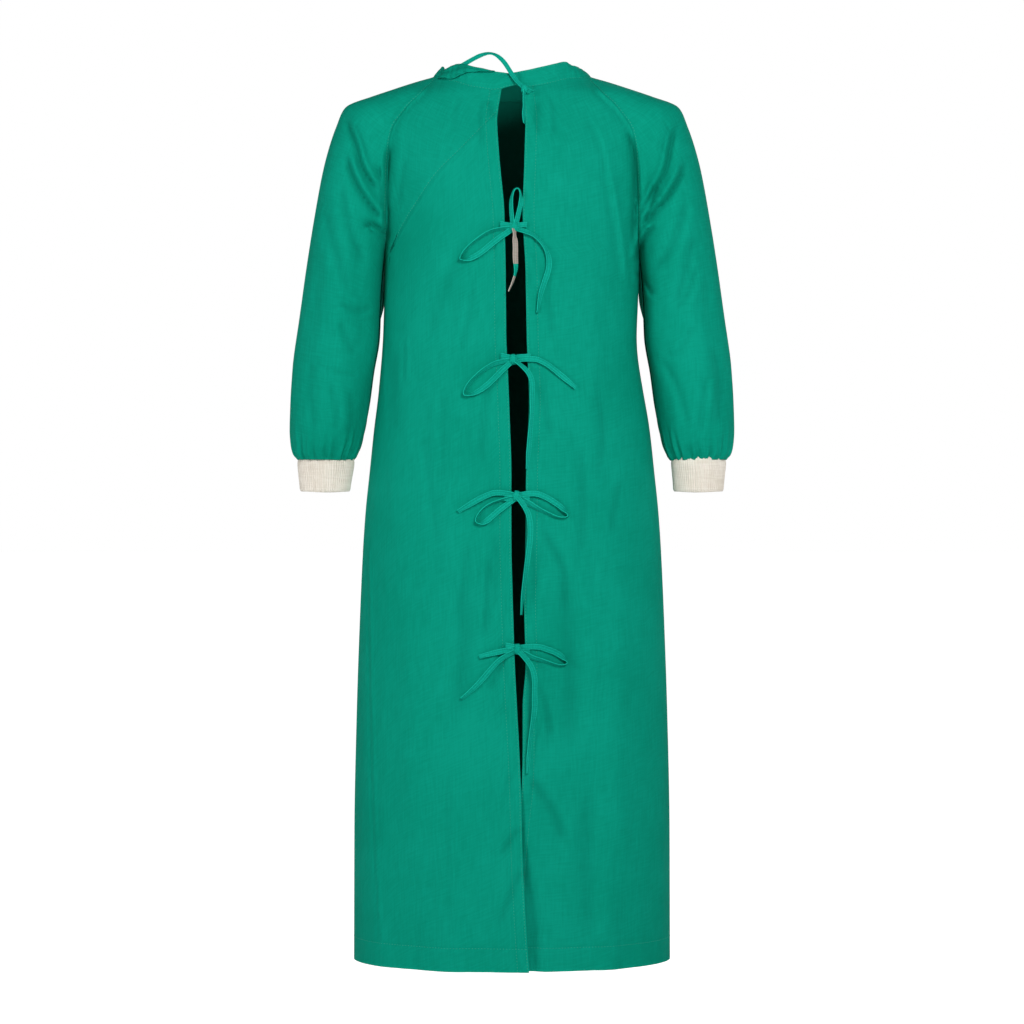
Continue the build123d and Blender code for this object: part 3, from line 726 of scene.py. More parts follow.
# Each tie: its knot (x, z) and the knot's tilt, how far it stands off the back, and its routes of (x, z)
# points, as in the CAD model. Each route has the turn of the tape about its own line, (share of the
# length, degrees). Straps run from the sewn edge of a panel to the knot. The first tie's left strap crosses
# the collar, so its straps have a slope instead, y to x. The second tie's tail is cream but for one stretch.
TIES = {
    1: dict(
        knot=(18, -22), tilt=20, size=0.8, off=8.0,
        straps={
            "left_tape": [(-86, 9), (-64, 21.5), (-42, 31.5), (-26, 32), (-12, 20), (-2, 3), (8, -12),
                          (18, -22)],
            "right_tape": [(36, -24), (30, -25.5), (18, -23)],
        },
        slopes={"left_tape": -0.425, "right_tape": 1.03},
        strap_turns=[(0, 14), (0.3, 18), (0.46, 58), (0.62, 14), (1, 42)],
        strap_width=7.0,
        routes={},
        tail=([(18, -24), (16.5, -34), (17.5, -47), (16, -60), (17, -73)],
              [(0, 62), (0.45, 70), (0.75, 52), (1, 74)]),
    ),
    2: dict(
        knot=(3, -220), tilt=-8, off=0.3,
        straps={"left_tape": [(-17, -215), (-10, -215.5), (1, -218)],
                "right_tape": [(5, -218), (13, -215.5), (21, -216)]},
        routes={
            "left_tape_up": (
                [(1, -218), (-1, -197), (-1.5, -181), (2.5, -165), (11, -164), (13.5, -181),
                 (10, -197), (5, -218)],
                [(0, 40), (0.3, 52), (0.47, 74), (0.56, 78), (0.72, 38), (1, 30)],
            ),
            "left_tape_loop": (
                [(2, -221), (-22, -221), (-42, -231), (-57, -242), (-68, -253), (-76, -265), (-62, -265),
                 (-45, -257), (-31, -245), (-16, -233), (1, -222)],
                [(0, 30), (0.14, 60), (0.42, 70), (0.53, 84), (0.62, 25), (0.8, 3), (1, 12)],
            ),
            "right_tape_end": (
                [(5, -221), (26, -227), (41, -239), (51, -256), (53, -275), (46, -296), (39, -316),
                 (36, -340)],
                [(0, 20), (0.2, 48), (0.34, 58), (0.55, 12), (0.75, 25), (0.88, 55), (1, 60)],
            ),
        },
        tail=([(3, -222), (5, -246), (4.5, -263), (6, -280), (2, -296), (-5, -311)],
              [(0, 40), (0.1, 62), (0.2, 22), (0.45, 30), (0.62, 48), (0.75, 74), (1, 82)]),
        not_cream=(0.50, 0.76),
    ),
    3: dict(
        knot=(2, -406), tilt=14, off=0.3,
        straps={"left_tape": [(-16, -401), (-10, -401.5), (0, -404)],
                "right_tape": [(4, -404), (14, -401.5), (26, -402)]},
        routes={
            "left_tape_loop": (
                [(1, -407), (-20, -409), (-37, -418), (-52, -430), (-64, -443), (-70, -457), (-54, -455),
                 (-38, -445), (-24, -432), (-14, -421), (1, -408)],
                [(0, 20), (0.2, 50), (0.42, 62), (0.53, 84), (0.64, 18), (0.85, 4), (1, 15)],
            ),
            "right_tape_end": (
                [(4, -407), (28, -403), (48, -411), (68, -427), (90, -445)],
                [(0, 15), (0.3, 8), (0.6, 28), (0.8, 10), (1, 20)],
            ),
        },
        tail=([(4, -408), (20, -419), (29, -436), (28, -458), (28.5, -480), (26, -505), (24, -530),
               (21, -560)],
              [(0, 55), (0.2, 22), (0.5, 45), (0.8, 36), (1, 52)]),
    ),
    4: dict(
        knot=(6, -598), tilt=-16, off=0.3,
        straps={"left_tape": [(-11, -601), (-5, -601.5), (4, -600)],
                "right_tape": [(8, -600), (17, -601.5), (25, -602)]},
        routes={
            "left_tape_end": (
                [(4, -597), (-20, -591), (-40, -599), (-58, -609), (-76, -620)],
                [(0, 20), (0.3, 5), (0.8, 10), (1, 25)],
            ),
            "left_tape_loop": (
                [(4, -600), (-20, -604), (-36, -612), (-47, -622), (-53, -635), (-40, -637), (-28, -627),
                 (-17, -617), (4, -602)],
                [(0, 50), (0.2, 68), (0.42, 76), (0.53, 85), (0.66, 12), (0.85, 0), (1, 18)],
            ),
            "right_tape_loop": (
                [(8, -597), (30, -593), (47, -599), (60, -607), (71, -615), (82, -627), (67, -629),
                 (52, -623),
                 (37, -616), (24, -608), (8, -600)],
                [(0, 10), (0.3, 4), (0.42, 28), (0.5, 80), (0.6, 74), (0.78, 52), (0.88, 26), (1, 8)],
            ),
        },
        tail=([(8, -600), (21, -616), (26, -636), (25.5, -660), (22, -685), (19, -709), (15, -735),
               (13, -765)],
              [(0, 26), (0.12, 30), (0.3, 12), (0.55, 28), (0.8, 56), (1, 64)]),
    ),
    5: dict(
        knot=(8, -813), tilt=10, off=0.3,
        straps={"left_tape": [(-9, -808), (-3, -808.5), (6, -811)],
                "right_tape": [(10, -815), (18, -817), (25, -817)]},
        routes={
            "left_tape_stub": ([(7, -812), (-22, -817), (-46, -824)], [(0, 20), (1, 4)]),
            "left_tape_end": (
                [(7, -815), (-13, -824), (-27, -838), (-40, -854), (-54, -869), (-71, -883)],
                [(0, 40), (0.3, 18), (0.6, 8), (0.8, 28), (1, 48)],
            ),
            "right_tape_loop": (
                [(9, -811), (34, -808), (52, -814), (66, -820), (81, -833), (69, -837), (55, -833),
                 (40, -828),
                 (26, -824), (9, -815)],
                [(0, 10), (0.3, 4), (0.42, 28), (0.5, 80), (0.62, 70), (0.78, 48), (0.88, 24), (1, 8)],
            ),
        },
        tail=([(10, -816), (24, -830), (32, -848), (31.5, -872), (32, -897), (28, -922), (24, -950),
               (22, -987)],
              [(0, 24), (0.2, 20), (0.5, 24), (0.75, 50), (1, 42)]),
    ),
}


def spline_points(control):
    """Points of the smooth line that the control points shape, in millimetres."""
    data = bpy.data.curves.new("line", "CURVE")
    data.dimensions = "3D"
    data.resolution_u = 10
    spline = data.splines.new("NURBS")
    spline.points.add(len(control) - 1)
    for point, place in zip(spline.points, control):
        point.co = (*(c * MM for c in place), 1)
    spline.order_u = 3
    spline.use_endpoint_u = True
    holder = bpy.data.objects.new("line", data)
    mesh = bpy.data.meshes.new_from_object(holder)
    line = np.array([v.co for v in mesh.vertices], float) / MM
    bpy.data.meshes.remove(mesh)
    bpy.data.objects.remove(holder)
    bpy.data.curves.remove(data)
    return line


# The folded tape's section, as shares of its width and thickness: thick edges and a groove beside each
HALF_RIBBON = [(-0.5, 0.25), (-0.47, 0.62), (-0.40, 0.66), (-0.32, 0.40), (-0.24, 0.34), (0.0, 0.46),
               (0.24, 0.34), (0.32, 0.40), (0.40, 0.66), (0.47, 0.62), (0.5, 0.25)]
RIBBON = [(x, -y) for x, y in HALF_RIBBON] + [(x, y) for x, y in reversed(HALF_RIBBON)]
# Painted highlight on the tape's thick edges, and painted shade in the grooves beside them.
TAPE_EDGE_HIGHLIGHT = [0.9 if abs(x) > 0.39 else 0.0 for x, _ in RIBBON]
TAPE_SHADE = [0.75 if 0.2 < abs(x) < 0.35 else 0.0 for x, _ in RIBBON]


def tape_object(name, line, turns, seed, tuck=0.0, width=TAPE_WIDTH, materials=(tape_cloth,)):
    """A flat tape along a line, turned about it by (share, degrees) pairs. tuck narrows its far end."""
    tangent = np.gradient(line, axis=0)
    tangent /= np.linalg.norm(tangent, axis=1, keepdims=True)
    out = np.array([0.0, -1.0, 0.0]) - tangent * (-tangent[:, 1:2])
    out /= np.maximum(np.linalg.norm(out, axis=1, keepdims=True), 1e-9)
    across = np.cross(tangent, out)
    along = np.concatenate([[0], np.cumsum(np.linalg.norm(np.diff(line, axis=0), axis=1))])
    angle = np.radians(curve(turns)(along / along[-1]))
    angle = angle + 0.10 * ripple(along, along * 0 + 3.3 * seed, 17, 1, 50 + seed)
    cosine, sine = np.cos(angle)[:, None], np.sin(angle)[:, None]
    wide, thin = across * cosine + out * sine, out * cosine - across * sine
    narrow = 1 - 0.10 * np.abs(ripple(along, along * 0 + 1.7 * seed, 23, 1, 70 + seed))
    narrow *= 1 - tuck * (1 - ease((along[-1] - along) / 26))
    bow = 0.5 * np.sin(along / 9 + seed)
    points, weave = [], []
    for i, p in enumerate(line):
        for x, y in RIBBON:
            bend = bow[i] * (0.25 - x * x) * 1.6
            aside, off = x * width * narrow[i], y * TAPE_THICKNESS + bend
            points.append((p + wide[i] * aside + thin[i] * off) * MM)
            weave.append((x * width * MM, along[i] * MM, 0))
    return new_object(
        name, points, tube_faces(len(line), len(RIBBON)), materials, 60,
        weave=weave, wear=np.tile(TAPE_EDGE_HIGHLIGHT, len(line)), crease=np.tile(TAPE_SHADE, len(line)),
    )


def laid_out(points, knot, knot_y, lift):
    """A route in space: at the knot's depth near the knot, and lying on the back away from it."""
    x, z = np.array(points, float).T
    far = np.hypot(x - knot[0], z - knot[1])
    off = lift[0] + (lift[1] - lift[0]) * ease((far - LOOP_REACH) / 50)
    on_back = np.where(x > OPENING_X, back_surface_y(x, z, RIGHT), back_surface_y(x, z, LEFT)) - off
    away = ease((far - KNOT_REACH) / 26)
    return np.stack([x, knot_y * (1 - away) + on_back * away, z], 1)


KNOT_RISE, KNOT_DEPTH, KNOT_STEPS = 6.4, 4.4, 24
KNOT_WEAVE_STEP = 0.0015     # metres of cloth from one step of a band to the next
# The bands of a knot: share of its size, turn from its tilt in degrees, shift along the tape, width
KNOT_BANDS = [(1.0, 0, 0.0, 7.2), (0.86, 38, 2.2, 6.0), (0.86, -34, -2.4, 6.0)]


def knot_object(name, middle, tilt, size, seed):
    """A pulled-tight knot: a band wrapped round the crossing tapes, with two strands over it."""
    points, faces, weave = [], [], []
    x, y, z = middle
    for share, turn, shift, width in KNOT_BANDS:
        width *= size
        cosine, sine = math.cos(math.radians(tilt + turn)), math.sin(math.radians(tilt + turn))
        ring = []
        for k in range(KNOT_STEPS + 1):
            a = 2 * math.pi * k / KNOT_STEPS
            up, out = KNOT_RISE * share * size * math.sin(a), -KNOT_DEPTH * share * size * math.cos(a)
            ring.append((x + shift * cosine - up * sine * 0.6, y + out, z + up * cosine + shift * sine))
        line = np.array(ring)
        tangent = np.gradient(line, axis=0)
        tangent[0] = tangent[-1] = line[1] - line[-2]
        tangent /= np.linalg.norm(tangent, axis=1, keepdims=True)
        outward = line - np.array(middle)
        outward -= tangent * (outward * tangent).sum(1, keepdims=True)
        outward /= np.linalg.norm(outward, axis=1, keepdims=True)
        across = np.cross(tangent, outward)
        faces += tube_faces(KNOT_STEPS, len(RIBBON), len(points), looped=True)
        for i, p in enumerate(line[:-1]):
            crush = 1 - 0.16 * math.sin(6 * math.pi * i / KNOT_STEPS + seed) ** 2
            for rx, ry in RIBBON:
                crown = 3.6 * (0.25 - rx * rx)
                points.append((p + across[i] * rx * width * crush + outward[i] * (ry * 1.3 + crown)) * MM)
                weave.append((rx * width * MM, i * KNOT_WEAVE_STEP, 0))
    return new_object(name, points, faces, [tape_cloth], 60, weave=weave)


def build_tie(number, tie):
    """The knot of a tie, its straps, its loops and loose ends, and its hanging tail."""
    title = f"tie_{number}"
    x, z = tie["knot"]
    y = -float(half_depth(z)) - tie["off"] - KNOT_OFF
    knot = knot_object(f"{title}_knot_turns", (x, y, z), tie["tilt"], tie.get("size", 1.0), number)
    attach(knot, "gown")
    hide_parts(f"{title}_knot")
    for side, points in tie["straps"].items():
        control = laid_out(points, tie["knot"], y, STRAP_LIFT)
        if "slopes" in tie:
            control[:, 1] = y + tie["slopes"][side] * (control[:, 0] - x)
        line = spline_points(control)
        turns, width = tie.get("strap_turns", STRAP_TURNS), tie.get("strap_width", TAPE_WIDTH)
        strap = tape_object(f"{title}_{side}_strap", line, turns, number, width=width)
        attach(strap, "gown")
        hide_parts(f"{title}_{side}")
    for i, (route, (points, turns)) in enumerate(tie["routes"].items()):
        line = spline_points(laid_out(points, tie["knot"], y, TAPE_LIFT))
        looped = "loop" in route or "up" in route
        piece = tape_object(f"{title}_{route}", line, turns, number * 7 + i, tuck=0 if looped else 0.25)
        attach(piece, "gown")
    points, turns = tie["tail"]
    line = spline_points(laid_out(points, tie["knot"], y - TAIL_DROP, TAIL_LIFT))
    materials = (tape_cloth, cream_tape) if "not_cream" in tie else (tape_cloth,)
    tail = tape_object(f"{title}_tail_tape", line, turns, number + 40, tuck=0.4, materials=materials)
    if "not_cream" in tie:
        first, last = tie["not_cream"]
        for polygon in tail.data.polygons:
            share = min(polygon.vertices) // len(RIBBON) / (len(line) - 1)
            polygon.material_index = 1 if share < first or share > last else 0
    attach(tail, f"{title}_tail")
    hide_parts(f"{title}_tail")


for number, tie in TIES.items():
    build_tie(number, tie)


# ---------------------------------------------------------------- back panels
# Columns crowd beside the opening and beside the side seam, and rows beside the hem
EDGE_OFFSETS = np.array([0, 1.2, 3, 5.5, 8.5, 11.5, 14.3, FACING_WIDTH, 17.7, 20.5, 24.5, 30])
SIDE_OFFSETS = np.array([0, 2, 4.5, 8, 12])
MIDDLE_COLUMNS = 66
COLUMNS = len(EDGE_OFFSETS) + len(SIDE_OFFSETS) + MIDDLE_COLUMNS
FACING_COLUMNS = 8           # columns from the edge to the facing's stitch line
HEM_OFFSETS = np.array([46, 41, 37, 34.6, HEM_HEIGHT, 31.2, 28, 23, 18, 13, 8.5, 5, 2.6, 1.0, 0])
HEM_ROWS = len(HEM_OFFSETS) - 4      # rows from the hem's stitch line to its edge


def back_angle(column, z, side):
    """Angle of a column at height z, from the side seam towards the opening."""
    a, b = half_width(z), half_depth(z)
    edge = np.arccos(np.clip(side * EDGE[side](z) / a, -1, 1))
    start = side_angle(z)
    metric = np.sqrt((a * np.sin(start)) ** 2 + (b * np.cos(start)) ** 2)
    first = start[..., None] + SIDE_OFFSETS / metric[..., None]
    last = edge[..., None] - EDGE_OFFSETS[::-1] / (a * np.sin(edge))[..., None]
    share = np.linspace(0, 1, MIDDLE_COLUMNS + 2)[1:-1]
    middle = first[..., -1:] * (1 - share) + last[..., :1] * share
    angles = np.concatenate([first, middle, last], -1)
    return np.take_along_axis(angles, column[..., None], -1)[..., 0]


def solve(height_of, angle_of, count, low, high):
    """For each of count columns, the height z where height_of(angle, z) equals z."""
    low, high = np.full(count, float(low)), np.full(count, float(high))
    for _ in range(30):
        middle = (low + high) / 2
        above = middle > height_of(angle_of(middle), middle)
        high, low = np.where(above, middle, high), np.where(above, low, middle)
    return (low + high) / 2


def solve_back(height_of, low, high, side):
    """The heights that solve finds for the columns of a back panel."""
    return solve(height_of, lambda z: back_angle(np.arange(COLUMNS), z, side), COLUMNS, low, high)


def with_hem(z):
    """The heights of a grid with the rows of its hem added."""
    below = HEM_Z + HEM_OFFSETS[1:, None]
    return np.concatenate([z, np.broadcast_to(below, (len(below), z.shape[1]))])


def back_grid(tops, bottoms, rows, side, hem=False):
    """Points of a back panel between two heights for each column, with the rows of its hem if it has one."""
    share = np.linspace(0, 1, rows)[:, None]
    z = tops * (1 - share) + bottoms * share
    if hem:
        z = with_hem(z)
    column = np.broadcast_to(np.arange(COLUMNS), z.shape)
    return settled(body_point(back_angle(column, z, side), z, side, False), side)


def crease_at(grid, borders, width=1.6):
    """Painted shade along the seams on the chosen borders."""
    return 0.9 * near_edge(grid, width, borders)


LINING, LINING_GAP = 0.7, 0.15


def lining(name, grid, normals):
    """A strip that lies on the inner face of a piece, cut from that piece's own grid."""
    shifted = grid - normals * (CLOTH + LINING_GAP)
    cloth_object(name, shifted, normals.mean((0, 1)), gown_cloth, LINING)


NECK_RANGE, YOKE_RANGE = (-60, 12), (-300, -30)      # heights that the two seams lie between
YOKE_HEIGHT = 14             # the least height of the yoke, beside the opening
hem_top = np.full(COLUMNS, HEM_Z + HEM_OFFSETS[0])
left_top = solve_back(lambda angle, z: BACK_NECK[LEFT](angle), *NECK_RANGE, LEFT)
right_top = solve_back(lambda angle, z: BACK_NECK[RIGHT](angle), *NECK_RANGE, RIGHT)
seam_line = solve_back(lambda angle, z: yoke_seam(-half_width(z) * np.cos(angle)), *YOKE_RANGE, LEFT)
seam_line = np.minimum(seam_line, left_top - YOKE_HEIGHT)

BACKWARD, FORWARD = np.array([0, -1.0, 0]), np.array([0, 1.0, 0])
grids = {
    "left_yoke_cloth": back_grid(left_top, seam_line, 76, LEFT),
    "left_back_cloth": back_grid(seam_line, hem_top, 350, LEFT, hem=True),
    "right_back_cloth": back_grid(right_top, hem_top, 410, RIGHT, hem=True),
}
normal_grids = {}
for name, grid in grids.items():
    borders = ["left", "bottom"] if name == "left_yoke_cloth" else ["left"]
    normal_grids[name] = cloth_object(
        name, grid, BACKWARD, gown_cloth, wear=0.6 * near_edge(grid, 2.0, ["right", "bottom"]),
        crease=crease_at(grid, borders),
    )

for side, names in (("left", ["left_yoke_cloth", "left_back_cloth"]), ("right", ["right_back_cloth"])):
    grid = np.concatenate([grids[n] for n in names])
    normal = np.concatenate([normal_grids[n] for n in names])
    keep = np.concatenate([[True], np.linalg.norm(np.diff(grid[:, -1], axis=0), axis=-1) > 0.05])
    grid, normal = grid[keep], normal[keep]
    lining(
        f"{side}_facing_strip", grid[:-HEM_ROWS, -FACING_COLUMNS:], normal[:-HEM_ROWS, -FACING_COLUMNS:]
    )
    lining(f"{side}_hem_turn", grid[-HEM_ROWS:], normal[-HEM_ROWS:])
    lines = [
        (grid[:, -FACING_COLUMNS], normal[:, -FACING_COLUMNS]),
        (grid[:, -2] * 0.5 + grid[:, -3] * 0.5, normal[:, -2]),
        (grid[-HEM_ROWS], normal[-HEM_ROWS]),
    ]
    if side == "left":
        lines.append((grids["left_yoke_cloth"][-2], normal_grids["left_yoke_cloth"][-2]))
    stitched(f"{side}_back_stitches", lines)

# ---------------------------------------------------------------- front panel
FRONT_COLUMNS, FRONT_ROWS = 101, 236


def front_angle(share, z):
    """Angle from the left side, 0 there and a half turn at the right side."""
    start = side_angle(z)
    return start + share * (math.pi - 2 * start)


def front_grid():
    """Points of the front panel, from the neck seam to the hem and from side to side."""
    share = np.linspace(0, 1, FRONT_COLUMNS)
    top = solve(
        lambda angle, z: front_neck(np.minimum(angle, math.pi - angle)), lambda z: front_angle(share, z),
        FRONT_COLUMNS, *NECK_RANGE,
    )
    rows = np.linspace(0, 1, FRONT_ROWS)[:, None]
    z = with_hem(top * (1 - rows) + (HEM_Z + HEM_OFFSETS[0]) * rows)
    angle = front_angle(share, z)
    points = body_point(angle, z, LEFT, True)
    points[..., 0] -= right_waist(z) * np.minimum(np.cos(angle), 0) ** 4
    return settled(points, LEFT)


front = front_grid()
front_normals = cloth_object(
    "front_cloth", front, FORWARD, gown_cloth, wear=0.5 * near_edge(front, 2.0, ["bottom"]),
    crease=crease_at(front, ["left", "right"], 1.2),
)
lining("front_hem_turn", front[-HEM_ROWS:], front_normals[-HEM_ROWS:])

# ---------------------------------------------------------------- sleeves
# Stations down the sleeve, for the left. On the raglan seam: the seam's height, the sleeve's top (x, z).
RAGLAN_STATIONS = [
    (8, (-113, 9)), (-6, (-132, 4)), (-24, (-172, -9)), (-45, (-205, -20)), (-71, (-241, -34.5)),
    (-110, (-255.5, -65)), (-180, (-272, -119)), (UNDERARM_Z, (-286, -194)),
]
FOOT_ANGLES = [50, 58, 68, 82, 98, 122, 142]   # where the sleeve's oval meets the seam, 180 is closed
# Below the underarm: outer side (x, z), inner side (x, z), half depth
ARM_STATIONS = [
    ((-291, -228), (-187, -272), 64), ((-299, -280), (-190, -318), 62), ((-308, -344), (-192, -366), 60),
    ((-317, -412), (-201, -420), 58), ((-320, -462), (-208, -468), 55), ((-320.5, -500), (-214, -502), 51),
    ((-319, -522), (-220, -524), 45), ((-316, -535), (-226, -537), 38), ((-310, -545), (-230.5, -546), 31),
]
UNDERARM_DEPTH = 65
FULLNESS_END_Z = -374        # where the fullness under the arm ends
SLEEVE_COLUMNS = 189
RAGLAN_ROWS, ARM_ROWS = 136, 136


def seam_depth(z):
    """Half depth of the body at the raglan seam."""
    return half_depth(z) * np.sqrt(np.clip(1 - raglan_share(z) ** 2, 0, 1))


def sleeve_push(angle, reach, below):
    """How far the cloth stands out from the plain sleeve. It is gathered into the cuff."""
    turn, down = angle / math.pi * 180, reach * 600
    soft = 2.0 * ripple(turn, down, 34, 90, 21) + 0.8 * ripple(turn, down, 15, 40, 22)
    wrist = ease((reach - 0.80) / 0.17)
    gather = (
        1.9 * np.sin(17 * angle + 1.3 * np.sin(3 * angle)) + 1.3 * np.sin(29 * angle + 2.1)
        + 1.6 * ripple(turn, down, 9, 60, 23)
    )
    return below * soft * (1 - 0.6 * wrist) + wrist * gather * (1 - 0.45 * ease((reach - 0.965) / 0.035))


def sleeve_grid(side):
    """Points of a sleeve. Each row is an oval, open at the body down to the underarm and closed below."""
    rows = [(*top, -half_width(z) * raglan_share(z), z) for z, top in RAGLAN_STATIONS]
    rows += [(*outer, *inner) for outer, inner, _ in ARM_STATIONS]
    top_x, top_z, foot_x, foot_z = [curve(list(enumerate(map(float, values)))) for values in zip(*rows)]
    underarm = len(RAGLAN_STATIONS) - 1
    station = np.concatenate([
        np.linspace(0, underarm, RAGLAN_ROWS)[:-1], np.linspace(underarm, len(rows) - 1, ARM_ROWS),
    ])
    seam_z = foot_z(station)
    on_seam = station <= underarm
    seam_x = np.where(on_seam, -half_width(seam_z) * raglan_share(seam_z), foot_x(station))
    seam_y = np.where(on_seam, seam_depth(seam_z), 0)
    last = len(FOOT_ANGLES) - 1
    foot_angle = curve([(i, math.radians(a)) for i, a in enumerate(FOOT_ANGLES)])
    last_depth = float(seam_depth(foot_z(last)) / math.sin(math.radians(FOOT_ANGLES[-1])))
    arm_depth = curve(
        [(last, last_depth), (underarm, UNDERARM_DEPTH)]
        + [(underarm + 1 + i, depth) for i, (_, _, depth) in enumerate(ARM_STATIONS)]
    )
    half_deep = np.where(station <= last, seam_y / np.sin(foot_angle(station)), arm_depth(station))
    closing = math.pi - np.arcsin(np.clip(seam_y / half_deep, 0, 1))
    foot_turn = np.where(station <= last, foot_angle(station), closing)
    top = np.stack([top_x(station), top_z(station)], -1)
    foot = np.stack([seam_x, seam_z], -1)
    length = np.linalg.norm(top - foot, axis=1)
    away = (top - foot) / length[:, None]
    half_wide = length / (1 - np.cos(foot_turn))
    centre = top - away * half_wide[:, None]
    share = np.linspace(-1, 1, SLEEVE_COLUMNS)
    share = share + 0.035 * np.sin(math.pi * share)
    angle = share * foot_turn[:, None]
    flat = centre[:, None] + away[:, None] * (half_wide[:, None] * np.cos(angle))[..., None]
    points = np.stack([flat[..., 0], half_deep[:, None] * np.sin(angle), flat[..., 1]], -1)

    reach = np.arange(len(station))[:, None] / (len(station) - 1)
    push = sleeve_push(angle, reach, ease((station[:, None] - underarm + 1.5) / 4.0))
    points[..., 0] += (away[:, 0, None] * np.cos(angle)) * push
    points[..., 2] += (away[:, 1, None] * np.cos(angle)) * push
    points[..., 1] += np.sin(angle) * push
    # the fullness under the arm, which closes the view between sleeve and body
    inner = ease((np.abs(angle) - 2.0) / 0.7)
    z = points[..., 2]
    level = ease((z - FULLNESS_END_Z) / 62) * ease((UNDERARM_Z + 1 - z) / 14)
    level = level * (8.5 + 2.5 * ease((-z - 270) / 40))
    points[..., 0] += inner * level * np.exp(-(((points[..., 1] - 26) / 11) ** 2))
    if side == RIGHT:
        points[..., 0] *= -1
    return settled(points, side)


for side, word in ((LEFT, "left"), (RIGHT, "right")):
    grid = sleeve_grid(side)
    axis = np.array([grid[:, :, 0].mean(), 0, grid[:, :, 2].mean()])
    normal = cloth_object(
        f"{word}_sleeve_cloth", grid, grid - axis, gown_cloth,
        crease=crease_at(grid, ["left", "right", "bottom"]),
    )
    seam_rows = slice(1, RAGLAN_ROWS)
    lines = [(grid[seam_rows, column], normal[seam_rows, column]) for column in (2, -3)]
    stitched(f"{word}_raglan_stitches", lines)

# ---------------------------------------------------------------- cuffs
RIBS, RIB_POINTS = 66, 6
# Height, half width, half depth
CUFF = [(-541, 38.0, 28.5), (-545, 39.2, 29.6), (-549, 39.8, 30.0), (-556, 39.2, 29.6), (-566, 37.8, 28.5),
        (-578, 36.2, 27.2), (-586, 35.4, 26.5), (-590.5, 34.8, 26.0)]
CUFF_CENTRE, CUFF_MIDDLE_Z = 270, -566.0
CUFF_THICKNESS = 1.5
SLEEVE_END_Z = -545


def cuff_grid(side):
    """Points of a ribbed tube that narrows to the wrist, with a rounded edge."""
    wide, deep = curve([(z, a) for z, a, _ in CUFF]), curve([(z, b) for z, _, b in CUFF])
    z = np.concatenate([np.linspace(-541, -586, 22), [-588, -589.6, -590.5]])[:, None]
    angle = np.linspace(0, 2 * math.pi, RIBS * RIB_POINTS, endpoint=False)[None]
    rib = 0.75 * np.abs(np.cos(angle * RIBS / 2)) ** 0.7
    rounding = np.where(z < -587, -1.2 * ((-587 - z) / 3.5) ** 2, 0)
    sway = 0.9 * np.sin(2 * angle + 0.04 * z + side) + 0.5 * np.sin(5 * angle - 0.05 * z)
    out = rib + rounding + sway
    x = side * (CUFF_CENTRE + (z - SLEEVE_END_Z) * -0.01) + (wide(z) + out) * np.cos(angle)
    y = (deep(z) + out) * np.sin(angle)
    sag = 1.6 * np.exp(-(((x - side * CUFF_CENTRE) / 26) ** 2)) * ease((SLEEVE_END_Z - z) / 45)
    return np.stack([x, y, z - sag], -1)


for side, word in ((LEFT, "left"), (RIGHT, "right")):
    grid = cuff_grid(side)
    # Painted shade round the top of the cuff, under the end of the sleeve.
    cloth_object(
        f"{word}_rib_cuff", grid, np.array([side * CUFF_CENTRE, 0, CUFF_MIDDLE_Z]), rib_knit, CUFF_THICKNESS,
        crease=0.5 * near_edge(grid, 3, ["top"]), closed=True,
    )

# ---------------------------------------------------------------- collar
# Round the neck from the left end at the back to the right end: angle, height of the band's top,
# how far the top leans in, and the length of the turned-down part (only on the left)
COLLAR = [
    (-0.06, 1, 1, 0), (0.05, 3, 1, 0), (0.16, 6, 2, 1), (0.24, 9.5, 3, 4), (0.37, 14, 3, 9),
    (0.50, 17.5, 4, 15), (0.63, 19.5, 5, 21.5), (0.78, 17.5, 6, 18), (0.95, 15, 8, 13),
    (1.12, 17, 11, 12), (1.28, 22, 14, 14), (1.40, 23.5, 14, 6), (1.52, 20, 12, 1), (1.7, 17.5, 12, 0),
    (2.4, 17, 9, 0), (3.14, 15, 8, 0), (3.9, 18, 9, 0), (4.4, 22, 12, 0), (4.71, 22, 14, 0),
    (5.1, 19.5, 12, 0), (5.42, 20, 8, 0), (5.6, 23.5, 6, 0), (5.8, 19, 4, 0), (6.0, 13, 3, 0),
    (6.14, 8, 2, 0), (6.24, 5, 2, 0), (6.30, 3, 2, 0),
]
COLLAR_CLOTH, TURN_CLOTH = 1.5, 1.1
COLLAR_COLUMNS, COLLAR_ROWS = 220, 14
TURN_COLUMNS, TURN_ROWS = 120, 18
TURN_START, TURN_END = 0.14, 1.56      # angles of the ends of the turned-down part
collar_top = curve([(a, t) for a, t, _, _ in COLLAR])
collar_lean = curve([(a, t) for a, _, t, _ in COLLAR])
collar_turn = curve([(a, t) for a, _, _, t in COLLAR])


def neck_seam(angle):
    """Point of the neck seam at an angle from the centre back, round by the left side."""
    left = angle < math.pi
    front = (angle > math.pi / 2) & (angle < 3 * math.pi / 2)
    inner = np.abs(np.where(left, math.pi / 2 - angle, angle - 3 * math.pi / 2))
    at_back = np.where(left, BACK_NECK[LEFT](inner), BACK_NECK[RIGHT](inner))
    z = np.where(front, front_neck(inner), at_back)
    return np.stack([-half_width(z) * np.sin(angle), -half_depth(z) * np.cos(angle), z], -1)


